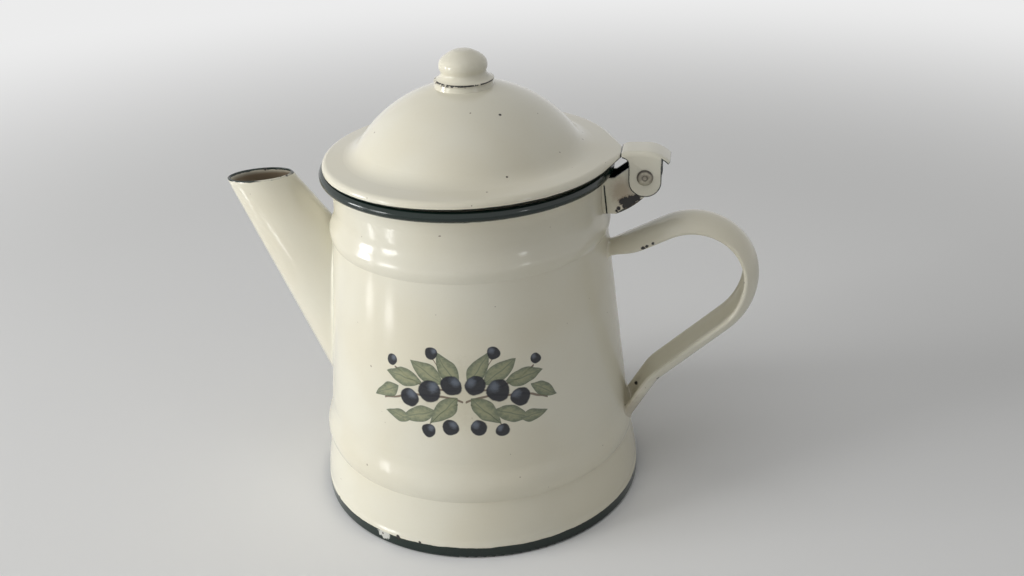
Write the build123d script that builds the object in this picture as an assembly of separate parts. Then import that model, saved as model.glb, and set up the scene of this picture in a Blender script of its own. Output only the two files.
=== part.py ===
"""An enamelled sheet-steel coffee pot with a hinged lid, a straight spout and a strap handle.

Millimetres. The origin is the centre of the standing ring, +Z is up, +X points at the handle and the
hinge, and -X at the spout. The lid is shown closed, resting on the front of the rolled rim.
"""
import math
import os

from build123d import *

os.makedirs("parts", exist_ok=True)

# Sheet and clearances
sheet = 1.0
strap_sheet = 1.2
hinge_sheet = 0.9
seam_clearance = 0.05
pin_clearance = 0.05
rim_gap = 0.3
weld_gap = 0.05

# Body of revolution, from the standing ring up
foot_radius = 58.4
foot_band_height = 5.0
foot_corner = 0.9
hem_leg_height = 4.0
base_taper_height = 16.0
base_taper_bow = 0.45
low_crease_radius = 55.5
low_rib_radius = 56.7
low_rib_crest_height = 4.8
low_rib_height = 14.6
cone_foot_radius = 54.3
cone_height = 63.2
cone_top_radius = 47.8
high_rib_radius = 48.65
high_rib_crest_height = 3.4
high_rib_height = 11.4
neck_radius = 46.4
neck_height = 5.0
flare_height = 6.7
rim_overhang = 2.0
rim_curl_radius = 1.8
rim_curl_turn = 262.0

# Base pan
pan_sheet = 0.8
pan_recess = 6.0
pan_corner = 2.3

# Strainer holes in the wall behind the spout
strainer_hole_radius = 2.0
strainer_pitch = 8.0
strainer_middle_count = 5
strainer_centre_height = 70.0

# Spout, given by its level sections at the root and at the mouth
spout_root_height = 43.0
spout_root_reach = 31.3
spout_root_length = 49.1
spout_root_width = 35.3
spout_mouth_height = 116.1
spout_mouth_reach = 74.7
spout_mouth_length = 25.3
spout_mouth_width = 14.4
spout_mouth_tilt = 4.7
spout_overlength = 6.0

# Handle strap, whose path is the crest line of its bowed section
strap_width = 17.0
strap_crown = 4.2
strap_edge_radius = 1.1
handle_top_slope = 26.0
handle_top_radius = 22.5
handle_reach = 99.6
handle_bend_height = 83.5
handle_low_radius = 27.0
handle_low_slope = 41.8
handle_low_run = 30.5
handle_foot_radius = 14.0
handle_foot_slope = 59.0
handle_foot_run = 20.0
handle_top_run = 4.0
# Distance along the root, and the shares of the width and of the crown left there
handle_root_steps = (
    (0.0, 1.0, 1.0),
    (4.5, 0.998, 0.998),
    (8.5, 0.98, 0.97),
    (12.0, 0.89, 0.85),
    (16.0, 0.77, 0.62),
    (22.0, 0.7, 0.5),
)

# Hinge
pin_reach = 12.2
pin_drop = 2.0
pin_radius = 1.6
pin_bore_radius = 0.8
pin_head_radius = 2.7
pin_head_thickness = 0.9
pin_head_edge = 0.2
pin_roll = 0.3
ear_radius = 5.4
ear_drop = 1.4
leaf_width = 12.0
leaf_bend_radius = 1.6
leaf_rise = 8.8
tail_radius = 11.5
tail_turn = 46.0
tail_start = -0.4
leaf_overrun = 0.5
leaf_rise_run = 2.6
leaf_step_drop = 0.12
leaf_start_slope = 0.6
leaf_gusset = 2.2
leaf_gusset_rise = 4.4
cheek_gap = 0.2
bracket_foot_drop = 13.5
bracket_flat = 4.6
bracket_web_reach = 12.6
bracket_web_rise = 4.9
bracket_web_sag = 0.5
bracket_web_thickness = 1.2
bracket_mouth_rise = 2.0
bracket_toe_turn = 50.0
bracket_crown_turn = 118.0
bracket_top_drop = 1.3
bracket_shoulder = 0.4

# Lid, in its own frame with the lip's lower edge at zero
lid_radius = 49.7
lid_shift = 0.85
lid_tilt = 0.75
lip_straight = 0.55
lip_bend = 1.9
lug_reach = 2.0
lug_half_width = 6.0
lug_lip_rise = 1.2
lug_rise_run = 5.0
flange_slope = 7.5
dome_height = 25.4
dome_radius = 45.6
dome_fillet = 8.0
seat_radius = 10.0
seat_rise = 0.85
seat_taper = 0.5
collar_radius = 44.2
collar_thickness = 0.8
collar_depth = 4.4
collar_flange = 2.4

# Knob, above its foot
knob_foot_radius = 10.0
knob_foot_edge = 0.35
knob_flare_radius = 8.5
knob_flare_height = 1.2
knob_waist_radius = 7.6
knob_waist_height = 2.6
knob_ball_radius = 8.1
knob_ball_height = 4.85
knob_crown = 5.2
knob_sheet = 1.0
knob_stem_radius = 2.4
knob_bore_radius = 1.4
knob_clinch_radius = 4.0
knob_clinch_thickness = 0.8

# Heights and places that follow from the sizes above
low_crease_z = foot_band_height + base_taper_height
cone_foot_z = low_crease_z + low_rib_height
cone_top_z = cone_foot_z + cone_height
neck_z = cone_top_z + high_rib_height
flare_z = neck_z + neck_height
rim_z = flare_z + flare_height
rim_radius = neck_radius + rim_overhang
rim_top_z = rim_z + rim_curl_radius
lid_slope = math.tan(math.radians(lid_tilt))
lid_z = rim_top_z + rim_gap + lid_slope * lid_radius
seat_z = dome_height + seat_rise
pin_x = rim_radius + pin_reach
pin_z = rim_z - pin_drop
dome_centre = (0, dome_height - dome_radius)


def polar(centre, radius, degrees):
    """Point on a circle in the side plane."""
    turn = math.radians(degrees)
    return (centre[0] + radius * math.cos(turn), centre[1] + radius * math.sin(turn))


def spun(edges):
    """Solid of revolution about +Z from a closed outline of (radius, height) edges."""
    outline = Plane.XZ * make_face(edges)
    return revolve(outline, axis=Axis.Z, revolution_arc=360)


def side_slab(edges, width):
    """Flat plate of an outline in the side plane, centred on the pot's middle plane."""
    outline = Plane.XZ * make_face(edges)
    return extrude(outline, amount=width / 2, both=True)


def body_line(inset):
    """Wall from the top of the foot band to the neck's flare, moved in by an inset."""
    foot = (foot_radius - inset, foot_band_height)
    taper_mid = (
        (foot_radius + low_crease_radius) / 2 + base_taper_bow - inset,
        foot_band_height + base_taper_height / 2,
    )
    low_crease = (low_crease_radius - inset, low_crease_z)
    low_crest = (low_rib_radius - inset, low_crease_z + low_rib_crest_height)
    cone_foot = (cone_foot_radius - inset, cone_foot_z)
    cone_top = (cone_top_radius - inset, cone_top_z)
    high_crest = (high_rib_radius - inset, cone_top_z + high_rib_crest_height)
    neck = (neck_radius - inset, neck_z)
    flare = (neck_radius - inset, flare_z)
    up_cone = (cone_top_radius - cone_foot_radius, cone_height)
    return [
        ThreePointArc(foot, taper_mid, low_crease),
        Spline(low_crease, low_crest, cone_foot, tangents=[(1.0, 1.8), up_cone]),
        Line(cone_foot, cone_top),
        Spline(cone_top, high_crest, neck, tangents=[(1.0, 1.8), (0, 1)]),
        Line(neck, flare),
    ]


def body_envelope():
    """Everything inside the body's outer face and the weld gap, for trimming what is welded to it."""
    gap = weld_gap
    curl = polar((rim_radius, rim_z), rim_curl_radius - sheet - gap, 180)
    edges = body_line(-gap) + [
        Spline((neck_radius + gap, flare_z), curl, tangents=[(0, 1), (0, 1)]),
        Line(curl, (curl[0], rim_top_z)),
        Line((curl[0], rim_top_z), (0, rim_top_z)),
        Line((0, rim_top_z), (0, 0)),
        Line((0, 0), (foot_radius + gap, 0)),
        Line((foot_radius + gap, 0), (foot_radius + gap, foot_band_height)),
    ]
    return spun(edges)


def strainer_holes():
    """Staggered rows of holes through the wall behind the spout."""
    holes = []
    for column in (-1, 0, 1):
        count = strainer_middle_count - abs(column)
        for row in range(count):
            height = strainer_centre_height + (row - (count - 1) / 2) * strainer_pitch
            hole = Cylinder(
                strainer_hole_radius,
                3 * neck_radius,
                align=(Align.CENTER, Align.CENTER, Align.MIN),
            )
            holes.append(Pos(0, column * strainer_pitch, height) * Rot(0, -90, 0) * hole)
    return holes


def body_shell():
    """Tapered wall with two swaged ribs, a hem that grips the base pan and an open rolled rim."""
    curl = (rim_radius, rim_z)
    curl_end = 180.0 - rim_curl_turn
    inner = rim_curl_radius - sheet
    slot = foot_radius - sheet - pan_sheet - 2 * seam_clearance
    leg = slot - sheet
    corner = foot_corner
    outline = body_line(0)
    outline += [
        Spline((neck_radius, flare_z), polar(curl, inner, 180), tangents=[(0, 1), (0, 1)]),
        ThreePointArc(
            polar(curl, inner, 180),
            polar(curl, inner, 180 - rim_curl_turn / 2),
            polar(curl, inner, curl_end),
        ),
        Line(polar(curl, inner, curl_end), polar(curl, rim_curl_radius, curl_end)),
        ThreePointArc(
            polar(curl, rim_curl_radius, curl_end),
            polar(curl, rim_curl_radius, 180 - rim_curl_turn / 2),
            polar(curl, rim_curl_radius, 180),
        ),
        Spline(
            polar(curl, rim_curl_radius, 180),
            (neck_radius - sheet, flare_z),
            tangents=[(0, -1), (0, -1)],
        ),
    ]
    outline += body_line(sheet)
    bottom = [
        (foot_radius - sheet, foot_band_height),
        (foot_radius - sheet, sheet),
        (slot, sheet),
        (slot, hem_leg_height),
        (leg, hem_leg_height),
        (leg, corner),
    ]
    outline += [Line(a, b) for a, b in zip(bottom, bottom[1:])]
    bend = corner * (1 - math.cos(math.radians(45)))
    outline += [
        ThreePointArc((leg, corner), (leg + bend, bend), (leg + corner, 0)),
        Line((leg + corner, 0), (foot_radius - corner, 0)),
        ThreePointArc((foot_radius - corner, 0), (foot_radius - bend, bend), (foot_radius, corner)),
        Line((foot_radius, corner), (foot_radius, foot_band_height)),
    ]
    wall = spun(outline)
    for hole in strainer_holes():
        wall -= hole
    return wall


def base_pan():
    """Raised bottom with a skirt that drops into the body's hem."""
    outer = foot_radius - sheet - seam_clearance
    inner = outer - pan_sheet
    inner_corner = pan_corner - pan_sheet
    top = pan_recess + pan_sheet
    bend = 1 - math.cos(math.radians(45))
    bottom = sheet + seam_clearance
    return spun([
        Line((0, pan_recess), (inner - inner_corner, pan_recess)),
        ThreePointArc(
            (inner - inner_corner, pan_recess),
            (inner - bend * inner_corner, pan_recess - bend * inner_corner),
            (inner, pan_recess - inner_corner),
        ),
        Line((inner, pan_recess - inner_corner), (inner, bottom)),
        Line((inner, bottom), (outer, bottom)),
        Line((outer, bottom), (outer, top - pan_corner)),
        ThreePointArc(
            (outer, top - pan_corner),
            (outer - bend * pan_corner, top - bend * pan_corner),
            (outer - pan_corner, top),
        ),
        Line((outer - pan_corner, top), (0, top)),
        Line((0, top), (0, pan_recess)),
    ])


def spout_section(height, inset):
    """Level oval of the spout at a height, drawn in by an inset."""
    share = (height - spout_root_height) / (spout_mouth_height - spout_root_height)
    reach = spout_root_reach + share * (spout_mouth_reach - spout_root_reach)
    length = spout_root_length + share * (spout_mouth_length - spout_root_length)
    width = spout_root_width + share * (spout_mouth_width - spout_root_width)
    lean = math.atan2(spout_mouth_height - spout_root_height, spout_mouth_reach - spout_root_reach)
    across = length / 2 - inset / math.sin(lean)
    return Pos(-reach, 0, height) * Ellipse(across, width / 2 - inset)


def spout():
    """Straight oval cone with its mouth cut nearly level, butted to the body."""
    low = spout_root_height - spout_overlength
    high = spout_mouth_height + spout_overlength
    outside = loft([spout_section(low, 0), spout_section(high, 0)])
    inside = loft([spout_section(low, sheet), spout_section(high, sheet)])
    above = Box(
        2 * spout_mouth_length,
        2 * spout_mouth_width,
        3 * spout_overlength,
        align=(Align.CENTER, Align.CENTER, Align.MIN),
    )
    mouth_cut = Pos(-spout_mouth_reach, 0, spout_mouth_height) * Rot(0, -spout_mouth_tilt, 0) * above
    return outside - inside - mouth_cut - body_envelope()


def handle_path():
    """Crest line of the strap from the end of its tapered root round to inside the lower foot."""
    top_centre = (handle_reach - handle_top_radius, handle_bend_height)
    low_centre = (handle_reach - handle_low_radius, handle_bend_height)
    top_start = polar(top_centre, handle_top_radius, 90 + handle_top_slope)
    rise = math.radians(handle_top_slope)
    rise_start = (
        top_start[0] - handle_top_run * math.cos(rise),
        top_start[1] - handle_top_run * math.sin(rise),
    )
    bend_out = (handle_reach, handle_bend_height)
    low_angle = handle_low_slope - 90
    low_start = polar(low_centre, handle_low_radius, low_angle)
    fall = math.radians(handle_low_slope)
    low_end = (
        low_start[0] - handle_low_run * math.cos(fall),
        low_start[1] - handle_low_run * math.sin(fall),
    )
    foot_centre = polar(low_end, handle_foot_radius, low_angle)
    foot_turn = handle_foot_slope - handle_low_slope
    foot_start = polar(foot_centre, handle_foot_radius, low_angle + 180 + foot_turn)
    foot_mid = polar(foot_centre, handle_foot_radius, low_angle + 180 + foot_turn / 2)
    steep = math.radians(handle_foot_slope)
    foot_end = (
        foot_start[0] - handle_foot_run * math.cos(steep),
        foot_start[1] - handle_foot_run * math.sin(steep),
    )
    top_middle = polar(top_centre, handle_top_radius, 45 + handle_top_slope / 2)
    edges = [
        Line(rise_start, top_start),
        ThreePointArc(top_start, top_middle, bend_out),
        ThreePointArc(bend_out, polar(low_centre, handle_low_radius, low_angle / 2), low_start),
        Line(low_start, low_end),
        ThreePointArc(low_end, foot_mid, foot_start),
        Line(foot_start, foot_end),
    ]
    return Plane.XZ * Wire(edges)


def strap_section(width, crown):
    """Bowed strap section with rolled edges, its crest at the origin."""
    half = width / 2
    lip = 2 * strap_edge_radius
    return make_face([
        ThreePointArc((-half, -crown), (0, 0), (half, -crown)),
        ThreePointArc(
            (half, -crown),
            (half - strap_edge_radius, -crown - strap_edge_radius),
            (half - lip, -crown),
        ),
        ThreePointArc((half - lip, -crown), (0, -strap_sheet), (lip - half, -crown)),
        ThreePointArc(
            (lip - half, -crown),
            (strap_edge_radius - half, -crown - strap_edge_radius),
            (-half, -crown),
        ),
    ])


def handle_strap():
    """Channel strap swept round the grip, narrowed and flattened at its upper root, cut to the body."""
    path = handle_path()
    way = path % 0
    start = Plane(origin=path @ 0, x_dir=(0, 1, 0), z_dir=way)
    swept = sweep(start * strap_section(strap_width, strap_crown), path=path)
    steps = [
        Plane(origin=path @ 0 - way * run, x_dir=(0, 1, 0), z_dir=way)
        * strap_section(strap_width * narrow, strap_crown * flat)
        for run, narrow, flat in handle_root_steps
    ]
    trimmed = swept + loft(steps) - body_envelope()
    return max(trimmed.solids(), key=lambda piece: piece.volume)


def lid_frame():
    """Place of the lid's own frame on the pot, raised a little at the hinge."""
    return Pos(lid_shift, 0, lid_z) * Rot(0, -lid_tilt, 0)


def flange_point(radius, inset):
    """Point of the lid's sloping flange at a radius, moved in square to its face."""
    slope = math.radians(flange_slope)
    bend_x = lid_radius - lip_bend
    edge = (
        bend_x + (lip_bend - inset) * math.sin(slope),
        lip_straight + (lip_bend - inset) * math.cos(slope),
    )
    return (radius, edge[1] + (edge[0] - radius) * math.tan(slope))


def fillet_centre():
    """Centre of the hollow curve that joins the flange to the dome."""
    slope = math.radians(flange_slope)
    reach = dome_radius + dome_fillet
    start = flange_point(0, 0)
    lift = start[1] + dome_fillet / math.cos(slope) - dome_centre[1]
    fall = math.tan(slope)
    a = 1 + fall * fall
    b = -2 * lift * fall
    c = lift * lift - reach * reach
    radius = (-b + math.sqrt(b * b - 4 * a * c)) / (2 * a)
    return (radius, dome_centre[1] + lift - fall * radius)


def lid_line(inset):
    """Face of the lid from beyond its edge over the flange to the crown, moved in by an inset."""
    hollow = fillet_centre()
    turn = math.degrees(math.atan2(hollow[1] - dome_centre[1], hollow[0] - dome_centre[0]))
    ball = dome_radius - inset
    cove = dome_fillet + inset
    flange_angle = 270 - flange_slope
    dome_angle = 180 + turn
    step_radius = seat_radius - inset
    seat_foot = (step_radius, dome_centre[1] + math.sqrt(ball * ball - step_radius * step_radius))
    return [
        Line(flange_point(lid_radius + 3 * lug_reach, inset), polar(hollow, cove, flange_angle)),
        ThreePointArc(
            polar(hollow, cove, flange_angle),
            polar(hollow, cove, (flange_angle + dome_angle) / 2),
            polar(hollow, cove, dome_angle),
        ),
        ThreePointArc(polar(dome_centre, ball, turn), polar(dome_centre, ball, (turn + 80) / 2), seat_foot),
        Line(seat_foot, (step_radius - seat_taper, seat_z - inset)),
        Line((step_radius - seat_taper, seat_z - inset), (0, seat_z - inset)),
    ]


def lid_plan(inset, reach):
    """Outline of the lid from above: a round edge drawn out with straight sides into a lug at the hinge."""
    end = lid_radius + lug_reach
    lug_turn = math.atan2(lug_half_width, end) + math.acos(lid_radius / math.hypot(end, lug_half_width))
    radius = lid_radius - inset
    touch = (radius * math.cos(lug_turn), radius * math.sin(lug_turn))
    corner = (reach, (radius - reach * math.cos(lug_turn)) / math.sin(lug_turn))
    return make_face([
        ThreePointArc(touch, (-radius, 0), (touch[0], -touch[1])),
        Line((touch[0], -touch[1]), (corner[0], -corner[1])),
        Line((corner[0], -corner[1]), corner),
        Line(corner, touch),
    ])


def lid_block(inset, reach):
    """Solid under the lid's face, moved in by an inset, with its upper edge rounded over."""
    far = flange_point(lid_radius + 3 * lug_reach, inset)
    under = spun(
        lid_line(inset)
        + [
            Line((0, seat_z - inset), (0, -inset)),
            Line((0, -inset), (far[0], -inset)),
            Line((far[0], -inset), far),
        ]
    )
    block = Pos(0, 0, -inset) * extrude(lid_plan(inset, reach), amount=seat_z + sheet) & under
    brink = [
        edge for edge in block.edges()
        if math.hypot((edge @ 0.5).X, (edge @ 0.5).Y) > lid_radius - inset - 0.1
        and (edge @ 0.5).Z > lip_straight
        and (edge @ 0.5).X < reach - 0.01
        and abs((edge % 0.5).Z) < 0.5
    ]
    return fillet(brink, lip_bend - inset)


def lid_shell():
    """Domed lid with a turned-down lip, a lug at the hinge and a raised, pierced seat for the knob."""
    end = lid_radius + lug_reach
    shell = lid_block(0, end) - lid_block(sheet, end + lug_reach / 10)
    rise = side_slab(
        [
            Line((end - lug_rise_run, 0), (end, lug_lip_rise)),
            Line((end, lug_lip_rise), (end + 1, lug_lip_rise)),
            Line((end + 1, lug_lip_rise), (end + 1, -1)),
            Line((end + 1, -1), (end - lug_rise_run, -1)),
            Line((end - lug_rise_run, -1), (end - lug_rise_run, 0)),
        ],
        2 * lid_radius,
    )
    stem_hole = Pos(0, 0, seat_z) * Cylinder(knob_stem_radius + pin_clearance, 6 * sheet)
    return lid_frame() * (shell - rise - stem_hole)


def lid_collar():
    """Angle ring under the flange that centres the lid in the neck."""
    inner = collar_radius - collar_thickness
    outer = collar_radius + collar_flange
    top = sheet + weld_gap
    under = top + collar_thickness
    ring = spun([
        Line(flange_point(inner, top), flange_point(outer, top)),
        Line(flange_point(outer, top), flange_point(outer, under)),
        Line(flange_point(outer, under), flange_point(collar_radius, under)),
        Line(flange_point(collar_radius, under), (collar_radius, -collar_depth)),
        Line((collar_radius, -collar_depth), (inner, -collar_depth)),
        Line((inner, -collar_depth), flange_point(inner, top)),
    ])
    return lid_frame() * ring


def oval_quarter(across, rise, height):
    """Quarter of an oval from its widest level up to the axis."""
    steps = []
    for turn in (0, 30, 60):
        angle = math.radians(turn)
        steps.append((across * math.cos(angle), height + rise * math.sin(angle)))
    return Spline(*steps, (0, height + rise), tangents=[(0, 1), (-1, 0)])


def lid_knob():
    """Hollow flattened ball on a flared foot, with a tubular stem clinched under the lid."""
    base = seat_z + weld_gap
    under = seat_z - sheet - weld_gap
    foot_top = (knob_foot_radius, base + knob_foot_edge)
    waist_z = base + knob_waist_height
    ball_z = base + knob_ball_height
    top = ball_z + knob_crown
    floor_z = base + knob_sheet
    inner_waist = knob_waist_radius - knob_sheet
    inner_ball = knob_ball_radius - knob_sheet
    edges = [
        Line((knob_foot_radius, base), foot_top),
        Spline(
            foot_top,
            (knob_flare_radius, base + knob_flare_height),
            (knob_waist_radius, waist_z),
            (knob_ball_radius, ball_z),
            tangents=[(-2.0, 1), (0, 1)],
        ),
        oval_quarter(knob_ball_radius, knob_crown, ball_z),
        Line((0, top), (0, top - knob_sheet)),
        oval_quarter(inner_ball, knob_crown - knob_sheet, ball_z),
        Spline((inner_ball, ball_z), (inner_waist, waist_z), tangents=[(0, -1), (0, -1)]),
    ]
    hollow = [
        (inner_waist, waist_z),
        (inner_waist, floor_z),
        (knob_bore_radius, floor_z),
        (knob_bore_radius, under - knob_clinch_thickness),
        (knob_clinch_radius, under - knob_clinch_thickness),
        (knob_clinch_radius, under),
        (knob_stem_radius, under),
        (knob_stem_radius, base),
        (knob_foot_radius, base),
    ]
    edges += [Line(a, b) for a, b in zip(hollow, hollow[1:])]
    return lid_frame() * spun(edges)


def leaf_profile(inset):
    """Top line of the hinge leaf, from inside the end of the lid's lug to the tail's tip."""
    end = lid_radius + lug_reach
    lug_top = lid_z + lid_slope * end + flange_point(end, 0)[1]
    start = (lid_shift + end - leaf_overrun, lug_top - inset)
    step = (lid_shift + end + leaf_rise_run, pin_z + leaf_rise - leaf_step_drop - inset)
    crest = (pin_x + tail_start, pin_z + leaf_rise - inset)
    slope = math.atan2(crest[1] - step[1], crest[0] - step[0])
    centre = (
        crest[0] + (tail_radius - inset) * math.sin(slope),
        crest[1] - (tail_radius - inset) * math.cos(slope),
    )
    brow = 90 + math.degrees(slope)
    tip = polar(centre, tail_radius - inset, 90 - tail_turn)
    middle = polar(centre, tail_radius - inset, (brow + 90 - tail_turn) / 2)
    return [start, step, crest, middle, tip]


def leaf_edges(points):
    """Edges of the leaf's top line through its named points."""
    start, step, crest, middle, tip = points
    level = (crest[0] - step[0], crest[1] - step[1])
    return [
        Spline(start, step, tangents=[(1.0, leaf_start_slope), level]),
        Line(step, crest),
        ThreePointArc(crest, middle, tip),
    ]


def hinge_leaf():
    """Folded cap welded to the lid's lug, with two ears on the pin and a curved thumb tail."""
    top = leaf_profile(0)
    under = leaf_profile(hinge_sheet)
    depth = (top[0][0], pin_z - ear_radius - ear_drop - 2)
    far = (top[-1][0], depth[1])
    block = side_slab(
        leaf_edges(top) + [Line(top[-1], far), Line(far, depth), Line(depth, top[0])],
        leaf_width,
    )
    long_edges = [
        edge for edge in block.edges()
        if abs(abs(edge.center().Y) - leaf_width / 2) < 0.01
        and edge.center().Z > pin_z + ear_radius
        and edge.bounding_box().size.X > 1.0
    ]
    block = fillet(long_edges, leaf_bend_radius)
    band = leaf_edges(top) + [Line(top[-1], under[-1])] + leaf_edges(under) + [Line(under[0], top[0])]
    plate = side_slab(band, 2 * leaf_width)
    ear_low = pin_z - ear_drop
    ear = side_slab(
        [
            Line((pin_x - ear_radius, ear_low), (pin_x - ear_radius, pin_z + leaf_rise + 1)),
            Line((pin_x - ear_radius, pin_z + leaf_rise + 1), (pin_x + ear_radius, pin_z + leaf_rise + 1)),
            Line((pin_x + ear_radius, pin_z + leaf_rise + 1), (pin_x + ear_radius, ear_low)),
            ThreePointArc(
                (pin_x + ear_radius, ear_low),
                (pin_x, ear_low - ear_radius),
                (pin_x - ear_radius, ear_low),
            ),
        ],
        2 * leaf_width,
    )
    ear_left = pin_x - ear_radius
    bay = (ear_left - leaf_gusset, pin_z + leaf_gusset_rise)
    bay_top = polar(bay, leaf_gusset, 90)
    bay_side = polar(bay, leaf_gusset, 0)
    gusset = side_slab(
        [
            ThreePointArc(bay_top, polar(bay, leaf_gusset, 45), bay_side),
            Line(bay_side, (ear_left, top[2][1])),
            Line((ear_left, top[2][1]), (bay[0], top[2][1])),
            Line((bay[0], top[2][1]), bay_top),
        ],
        2 * leaf_width,
    )
    cube = 2 * leaf_width
    end = lid_radius + lug_reach + weld_gap
    lug_side = lid_frame() * Pos(end - cube / 2, 0, 0) * Box(cube, cube, cube)
    hollow_low = (under[0][0] - 1, depth[1] - 1)
    hollow_far = (under[-1][0] + 1, depth[1] - 1)
    hollow = side_slab(
        leaf_edges(under)
        + [
            Line(under[-1], (hollow_far[0], under[-1][1])),
            Line((hollow_far[0], under[-1][1]), hollow_far),
            Line(hollow_far, hollow_low),
            Line(hollow_low, (hollow_low[0], under[0][1])),
            Line((hollow_low[0], under[0][1]), under[0]),
        ],
        leaf_width - 2 * hinge_sheet,
    )
    pin_hole = Pos(pin_x, 0, pin_z) * Rot(90, 0, 0) * Cylinder(pin_radius + pin_clearance, 2 * leaf_width)
    return (block & (plate + ear + gusset)) - hollow - pin_hole - lug_side


def bracket_web(rise):
    """Lower line of the bracket from inside the neck to its toe, raised by an amount."""
    root = (neck_radius - 2 * sheet, pin_z - bracket_foot_drop + rise)
    flat = (neck_radius + bracket_flat, root[1])
    knee = (neck_radius + bracket_web_reach, root[1] + bracket_web_rise)
    middle = ((flat[0] + knee[0]) / 2, (flat[1] + knee[1]) / 2 - bracket_web_sag)
    heel = polar((pin_x, pin_z), ear_radius, -bracket_toe_turn)
    toe = (heel[0], heel[1] + rise)
    return root, toe, [Line(root, flat), ThreePointArc(flat, middle, knee), Line(knee, toe)]


def hinge_bracket():
    """Folded channel welded to the neck: two cheeks on the pin, joined by a slanted web below."""
    width = leaf_width - 2 * hinge_sheet - 2 * cheek_gap
    end_radius = ear_radius
    crown = polar((pin_x, pin_z), end_radius, bracket_crown_turn)
    middle_turn = (bracket_crown_turn - bracket_toe_turn) / 2
    pin = (pin_x, pin_z)
    root, toe, web = bracket_web(0)
    top = (root[0], rim_z - rim_curl_radius - bracket_top_drop)
    shoulder = (rim_radius + rim_curl_radius + bracket_shoulder, top[1] + bracket_shoulder)
    channel = side_slab(
        web
        + [
            ThreePointArc(toe, polar(pin, end_radius, middle_turn), crown),
            Line(crown, shoulder),
            Line(shoulder, top),
            Line(top, root),
        ],
        width,
    )
    inner_root, inner_toe, inner_web = bracket_web(bracket_web_thickness)
    past = (pin_x + ear_radius + sheet, inner_toe[1] + bracket_mouth_rise)
    high = pin_z + 2 * ear_radius
    hollow = side_slab(
        inner_web
        + [
            Line(inner_toe, past),
            Line(past, (past[0], high)),
            Line((past[0], high), (inner_root[0], high)),
            Line((inner_root[0], high), inner_root),
        ],
        width - 2 * sheet,
    )
    pin_hole = Pos(pin_x, 0, pin_z) * Rot(90, 0, 0) * Cylinder(pin_radius + pin_clearance, 2 * leaf_width)
    return channel - hollow - pin_hole - body_envelope()


def hinge_pin():
    """Tubular rivet through the ears and cheeks, with a rolled head at each end."""
    head_inner = leaf_width / 2 + pin_clearance
    head_outer = head_inner + pin_head_thickness
    half = [
        Line((pin_bore_radius, 0), (pin_bore_radius, head_outer - pin_roll)),
        ThreePointArc(
            (pin_bore_radius, head_outer - pin_roll),
            (pin_bore_radius + pin_roll, head_outer - pin_roll / 3),
            (pin_radius, head_outer),
        ),
        ThreePointArc(
            (pin_radius, head_outer),
            (pin_head_radius - pin_roll, head_outer - pin_roll),
            (pin_head_radius, head_inner + pin_head_edge),
        ),
        Line((pin_head_radius, head_inner + pin_head_edge), (pin_head_radius, head_inner)),
        Line((pin_head_radius, head_inner), (pin_radius, head_inner)),
        Line((pin_radius, head_inner), (pin_radius, 0)),
        Line((pin_radius, 0), (pin_bore_radius, 0)),
    ]
    upper = spun(half)
    return Pos(pin_x, 0, pin_z) * Rot(90, 0, 0) * (upper + mirror(upper, about=Plane.XY))


pieces = {
    "body_shell": body_shell,
    "base_pan": base_pan,
    "spout": spout,
    "handle_strap": handle_strap,
    "hinge_bracket": hinge_bracket,
    "hinge_pin": hinge_pin,
    "hinge_leaf": hinge_leaf,
    "lid_shell": lid_shell,
    "lid_collar": lid_collar,
    "lid_knob": lid_knob,
}

for name, make in pieces.items():
    piece = make()
    export_step(piece, f"parts/{name}.step")
    print(name, len(piece.solids()), round(piece.volume, 1))

print("pin axis at", round(pin_x, 2), round(pin_z, 2))
print("rim top at", round(rim_top_z, 2), "and lid frame at", round(lid_z, 2))
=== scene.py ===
"""Dresses the enamel coffee pot: camera and studio, glossy enamels, spout, strap handle, hinge and lid.

Sizes are in millimetres in the same frame as the solids: +Z up, +X towards the handle, -X the spout.
"""

import logging
import math
from dataclasses import dataclass
from enum import Enum
from functools import cached_property
from typing import Sequence

import bmesh
import bpy
from mathutils import Matrix, Vector

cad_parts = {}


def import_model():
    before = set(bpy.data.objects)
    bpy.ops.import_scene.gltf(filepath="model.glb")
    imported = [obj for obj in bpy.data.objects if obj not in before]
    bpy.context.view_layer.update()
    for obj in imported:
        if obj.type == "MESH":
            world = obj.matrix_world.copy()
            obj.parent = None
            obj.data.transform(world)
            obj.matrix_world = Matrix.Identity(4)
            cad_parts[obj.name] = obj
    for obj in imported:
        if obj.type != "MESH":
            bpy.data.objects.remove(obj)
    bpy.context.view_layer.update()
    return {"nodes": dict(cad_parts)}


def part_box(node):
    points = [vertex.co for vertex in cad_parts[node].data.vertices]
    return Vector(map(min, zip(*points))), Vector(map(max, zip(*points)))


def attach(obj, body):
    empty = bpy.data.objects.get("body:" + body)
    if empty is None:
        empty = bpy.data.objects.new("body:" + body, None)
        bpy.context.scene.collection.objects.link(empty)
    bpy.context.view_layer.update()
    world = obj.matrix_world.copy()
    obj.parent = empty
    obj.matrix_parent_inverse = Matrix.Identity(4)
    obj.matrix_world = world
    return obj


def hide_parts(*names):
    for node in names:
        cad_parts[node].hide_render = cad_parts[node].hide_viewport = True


MM = 0.001
WHITE = (1.0, 1.0, 1.0, 1.0)
log = logging.getLogger("coffee_pot")

Colour = tuple[float, float, float]
Spot = tuple[float, float, float]


class Slot(Enum):
    """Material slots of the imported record."""

    CREAM = "cream_enamel"
    DARK = "dark_enamel"
    RIVET = "rivet_steel"


class Body(Enum):
    """Rigid bodies of the pot."""

    POT = "pot"
    LID = "lid"


@dataclass(frozen=True)
class Grain:
    """Noise of one scale in millimetres, and the two levels that cut it to a mask."""

    size: float
    detail: float = 2.0
    rough: float = 0.5
    start: float = 0.0
    end: float = 1.0


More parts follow.
